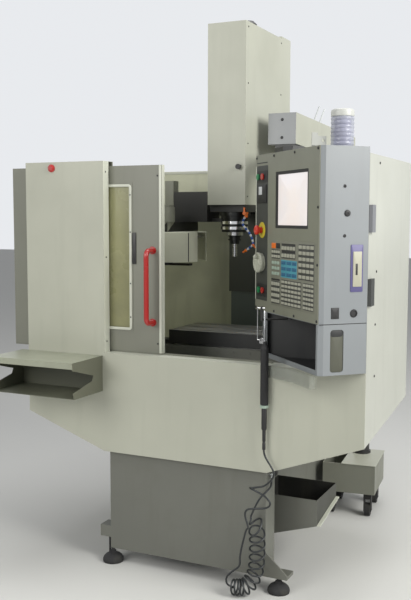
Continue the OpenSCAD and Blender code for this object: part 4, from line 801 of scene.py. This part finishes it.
add_piece("dial_ticks", *together([
    turned(tick, on_face(wheel_s + tick_r * math.cos(t), 0, wheel_z + tick_r * math.sin(t)), face_out, 6)
    for t in np.linspace(0, 2 * np.pi, 25)[:-1]]), "handwheel", black_plastic, "black_plastic")

# Right side of the pendant: key lock, card reader plate, socket and round connector. Each stands a
# few millimetres out of the sheet.
violet_plastic = paint("violet_plastic", (0.10, 0.09, 0.22), 0.35, 0.05)
beige_plastic = paint("beige_plastic", (0.42, 0.41, 0.32), 0.4, 0.1)
lock = [(0, -6), (8, -6), (8, 0), (12, 0), (12.6, 1), (12, 3.4), (8.5, 5), (3, 5), (2.6, 2), (0, 2)]
add_piece("key_lock", *turned(lock, on_side(112, 0, 1561), side_out, 24), "machine", black_plastic,
          "black_plastic")
add_piece("reader_plate", *side_plate(155, 0.2, 1355, 52, 178, 4, 2.4, 0.8), "machine", violet_plastic,
          "black_plastic")
add_piece("reader_body", *side_plate(156.5, 2.2, 1352, 37, 132, 2, 3, 0.8), "machine", beige_plastic,
          "cream_plastic")
add_piece("reader_slot", *side_plate(152.5, 5.0, 1351.5, 9, 43, 1, 0.6, 0.2), "machine", black_plastic,
          "black_plastic")
connector = [(0, -4), (13, -4), (13, 0), (15.5, 0), (15.5, 2), (13.5, 4), (11, 4.2), (10.5, 1), (0, 1)]
add_piece("side_socket", *together([side_plate(67, -1.5, 1187.5, 33, 42, 1.5, 2.6, 0.4),
                                    turned(connector, on_side(146, 0, 1185), side_out, 28)]),
          "machine", black_plastic, "black_plastic")
tray_clear = clear_plastic("tray_clear", (0.40, 0.42, 0.37), 10.0, 0.15, 0.3)
dress("box_tray", tray_clear)


# Beacon: ribbed clear lenses moulded in a stack over a coloured core, with a cream cap. The lens
# radius is 41 + 2.8 * |sin(pi * height / pitch)| ^ 0.6, which gives sharp grooves between round ribs.
lens = clear_plastic("beacon_lens", (0.50, 0.52, 0.62), 30.0, 0.1, 0.62)
core = paint("beacon_core", (0.16, 0.14, 0.34), 0.2, 0.0, coat=0.8)
cap_cream = paint("beacon_cap", (0.52, 0.53, 0.50), 0.3, 0.05)
beacon_at = on_face(69, -123, 1809)
rib_pitch = 15.4
heights = np.arange(0, 109, 1.0)
ribs = np.stack([41.0 + 2.8 * np.abs(np.sin(np.pi * heights / rib_pitch)) ** 0.6, 5 + heights], 1)
lens_shape = [(0, 0), (43.8, 0), (43.8, 4), *ribs, (0, 114)]
core_shape = [(0, 6), (30, 6), (34, 14), (30, 40), (35, 55), (29, 75), (34, 96), (26, 108), (0, 109)]
cap_shape = [(0, 113), (42, 113), (43.8, 115), (43.9, 131), (42, 137), (36, 140.5), (0, 141)]
lens_piece = add_piece("beacon_lens", *turned(lens_shape, beacon_at, up, 48), "machine", lens,
                       "beacon_plastic")
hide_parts("beacon")
add_piece("beacon_core", *turned(core_shape, beacon_at, up, 32), "machine", core, "beacon_plastic")
add_piece("beacon_cap", *turned(cap_shape, beacon_at, up, 48), "machine", cap_cream, "beacon_plastic")


# Overhead duct and brackets: a cream sheet duct from the cabinet to the pendant, a post, a black
# plate, a cable gland and the hanger rod.
beam_paint = paint("beam_paint", (0.275, 0.285, 0.295), 0.34, 0.12, 3.0)
# The rear part of the duct's top is painted in the highlight cream, as a painted highlight.
dress("cable_beam", beam_paint, (cream_paint, (288.5, 570, 1700), (289.5, 1600, 2140)),
      (highlight_cream, (180, 960, 1960), (300, 1200, 2140)))
plug = [(0, -4), (5, -4), (5, 0), (7, 0), (7, 1), (5.5, 2.2), (0, 2.6)]
beam_x = 222
add_piece("beam_plugs", *together([turned(plug, (beam_x, y, z), to_front, 16)
                                   for y, z in ((580.05, 1910), (582.9, 1991.9))]),
          "machine", black_plastic, "black_plastic")
peg = [(0, 0), (4.2, 0), (4.2, 103), (3.2, 105), (0, 105)]
peg_way = (0.3746, 0, 0.9272)
add_piece("beam_pegs", *together([turned(peg, (beam_x, 579 + y, 2016 - y * 0.035), peg_way, 12)
                                  for y in (430, 515)]), "machine", white_plastic, "cream_plastic")
bracket_grey = paint("bracket_grey", (0.17, 0.175, 0.19), 0.35, 0.1)
dress("pendant_brackets", black_paint,
      (white_plastic, (313, 359, 1808), (328, 375, 1852)),
      (bracket_grey, (787, 0, 1400), (810, 60, 1700)), (strip_dark, (787, 0, 1100), (810, 60, 1400)),
      (paint("bracket_light", (0.36, 0.37, 0.345), 0.35, 0.1), (575, -140, 1808.5), (700, -20, 1870)),
      (rail_steel, (372, 40, 470), (400, 80, 500)))


# Shelf, chute, tank and cabinet: plain folded sheet in grey and cream. The tank stands on black
# casters and carries a cream lid with a black pump.
dress("side_shelf", paint("shelf_paint", (0.33, 0.345, 0.265), 0.36, 0.25, 4.0),
      (paint("shelf_shade", (0.12, 0.125, 0.09), 0.4, 0.3, 4.0), (-900, -235, 700), (-300, -0.5, 934)))
# On the chip chute, a strip along the right flange takes the highlight cream as a painted highlight. Its
# right side is painted near black as painted shade, and the inside of the tray is darker still as painted
# shade.
dress("chip_chute", casting_paint, (highlight_cream, (530.5, 220, 230), (548, 505, 290)),
      (paint("chute_side_shade", (0.045, 0.046, 0.038), 0.5, 0.3, 4.0), (529.5, 220, 200), (530.4, 505, 349)),
      (paint("chute_inside_shade", (0.02, 0.02, 0.018), 0.5, 0.3, 4.0), (250, 226, 140), (529, 499, 349)))
# A black plate on the base's closed side wall above the tray is painted shade: it stands for a dark opening
# where chips fall.
add_piece("chip_outlet_shade", *plate((250, 362, 452), (0, 1, 0), to_right, 262, 196, 4, 0.8, 0.3), "machine",
          black_paint, "black_steel")
dress("coolant_tank", paint("tank_paint", (0.19, 0.195, 0.16), 0.4, 0.25, 4.0),
      (cream_paint, (200, 1000, 274.8), (600, 1600, 279)),
      (pad_rubber, (200, 1000, 0), (600, 1600, 122.8)),
      (black_paint, (360, 1250, 278.5), (500, 1380, 450)))
dress("control_cabinet", cream_paint)
dress("cabinet_door", cream_paint)
dress("disconnect_handle", red_plastic)


# Air gun: a black moulded grip on a thin nozzle, squeezed by a bright wire lever that turns on a
# pin between two ears.
grip_rubber = paint("grip_rubber", (0.013, 0.013, 0.014), 0.6, 0.1, 30.0, 700.0, 0.3)
gun_at = (382, -22, 1038)
grip = [(0, -243), (13, -243), (16, -240)]
for h in np.arange(-236, -14, 6.0):
    grip += [(16.6, h), (16.6, h + 3.6), (15.8, h + 4.4), (15.8, h + 5.6)]
grip += [(15, -8), (12, -3), (9.5, 0), (9.5, 13), (7, 15), (0, 15)]
gun = add_piece("gun_grip", *turned(grip, gun_at, up, 28), "machine", grip_rubber, "black_plastic")
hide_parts("air_gun")
collar = [(0, -255), (15, -255), (17.4, -253), (17.4, -245), (15.5, -243), (0, -243)]
add_piece("gun_ring", *turned(collar, gun_at, up, 28), "machine", mint_key, "black_plastic")
fitting = [(0, -427), (5.6, -427), (6.8, -425), (6.8, -400), (5.8, -398), (5.8, -392), (7, -390), (7, -346),
           (9.5, -344), (10.8, -340), (10.8, -262), (9, -256), (0, -255)]
add_piece("gun_hose_fitting", *turned(fitting, gun_at, up, 20), "machine", black_plastic, "black_plastic")
gun_x, gun_y, gun_z = gun_at
ears = [plate((gun_x - 10, gun_y + y, gun_z + 16), to_right, (0, 1, 0), 20, 20, 4, 3.1, 0.4)
        for y in (-8.5, 5.4)]
tube = [(0, 12), (6, 12), (6, 17), (4, 20), (4, 134), (3, 138), (1.5, 138), (1.4, 130), (0, 130)]
pin = [(0, -8.5), (2, -8.5), (2, 8.5), (0, 8.5)]
add_piece("gun_nozzle", *together([turned(tube, gun_at, up, 16),
                                   turned(pin, (gun_x - 14, gun_y, gun_z + 20), (0, 1, 0), 12), *ears]),
          "machine", chrome_wire, "bright_chrome")
dress("air_gun_trigger", chrome_wire)

hose_plastic = paint("hose_plastic", (0.016, 0.019, 0.021), 0.3, 0.15, 40.0, 600.0, 0.05)
hose.data.materials.append(hose_plastic)


# Swarf: curled brass-coloured chips lie scattered on the table, each a short spiral strip. Where
# they lie and how they curl is drawn at random from a fixed seed.
def chip(at, turn, size, curl):
    """Curled strip: width across, and along it an arc of the curl radius that climbs a little."""
    t = np.linspace(0, curl, 7)
    x, y = size * np.sin(t), size * (1 - np.cos(t)) * 0.6
    w = size * 0.35
    c, s = math.cos(turn), math.sin(turn)
    low = np.stack([at[0] + c * x - s * w, at[1] + s * x + c * w, at[2] + y * 0.5], 1)
    high = np.stack([at[0] + c * x + s * w, at[1] + s * x - c * w, at[2] + y * 0.5 + 0.2], 1)
    under = np.array([0, 0, -0.25])
    seam = np.stack([np.arange(21, 27), np.arange(22, 28), np.arange(1, 7), np.arange(0, 6)], 1)
    return np.vstack([low, high, high + under, low + under]) * mm, np.vstack([quads(4, 7, False), seam])


dice = np.random.default_rng(7)
spots = np.stack([dice.uniform(-240, 640, 150), dice.uniform(374, 666, 150)], 1)
chip_z = 1019.4
chips = [chip((x, y, chip_z), dice.uniform(0, 6.28), dice.uniform(2.5, 6), dice.uniform(1, 4))
         for x, y in spots]
brass = bare_metal("brass_chips", (0.60, 0.46, 0.22), 0.3, (60, 60, 60))
add_piece("table_chips", *together(chips), "table", brass, "machined_steel", flat=True)


# Floor and light: a pale studio floor, a broad lamp from the right, a weaker one from the front
# left, and an even sky.
floor_mesh = bpy.data.meshes.new("studio_floor")
floor_mesh.from_pydata([(-30, -30, 0), (30, -30, 0), (30, 30, 0), (-30, 30, 0)], [], [(0, 1, 2, 3)])
studio_floor = bpy.data.objects.new("studio_floor", floor_mesh)
bpy.context.scene.collection.objects.link(studio_floor)
floor_look = bpy.data.materials.new("studio_floor")
floor_look.use_nodes = True
floor_look.node_tree.nodes["Principled BSDF"].inputs["Base Color"].default_value = (0.62, 0.62, 0.60, 1)
floor_look.node_tree.nodes["Principled BSDF"].inputs["Roughness"].default_value = 0.8
floor_mesh.materials.append(floor_look)


def lamp(name, at, to, size, power, colour=(1, 1, 1)):
    """Square area lamp that looks from one point to another."""
    light = bpy.data.lights.new(name, "AREA")
    light.size = size
    light.energy = power
    light.color = colour
    o = bpy.data.objects.new(name, light)
    bpy.context.scene.collection.objects.link(o)
    o.location = at
    o.rotation_euler = (Vector(to) - Vector(at)).to_track_quat("-Z", "Y").to_euler()


lamp("right_lamp", (5.2, -0.8, 3.6), (0.2, 0.3, 1.1), 3.0, 330, (1.0, 0.99, 0.95))
lamp("front_lamp", (-2.2, -5.0, 3.2), (0, 0.3, 1.1), 3.0, 150, (1.0, 0.99, 0.95))
lamp("top_lamp", (0.3, 1.0, 5.6), (0, 0.4, 1.0), 3.0, 130)
world = bpy.data.worlds.new("studio_sky")
bpy.context.scene.world = world
world.use_nodes = True
sky = world.node_tree
background = sky.nodes["Background"]
background.inputs["Color"].default_value = (0.9, 0.92, 0.95, 1)
path = sky.nodes.new("ShaderNodeLightPath")
seen = times(sky, times(sky, path.outputs["Is Camera Ray"], path.outputs["Is Glossy Ray"], "MAXIMUM"),
             path.outputs["Is Transmission Ray"], "MAXIMUM")
sky.links.new(between(sky, seen, 0, 1, 0.33, 0.9), background.inputs["Strength"])
bpy.context.scene.view_settings.view_transform = "Standard"
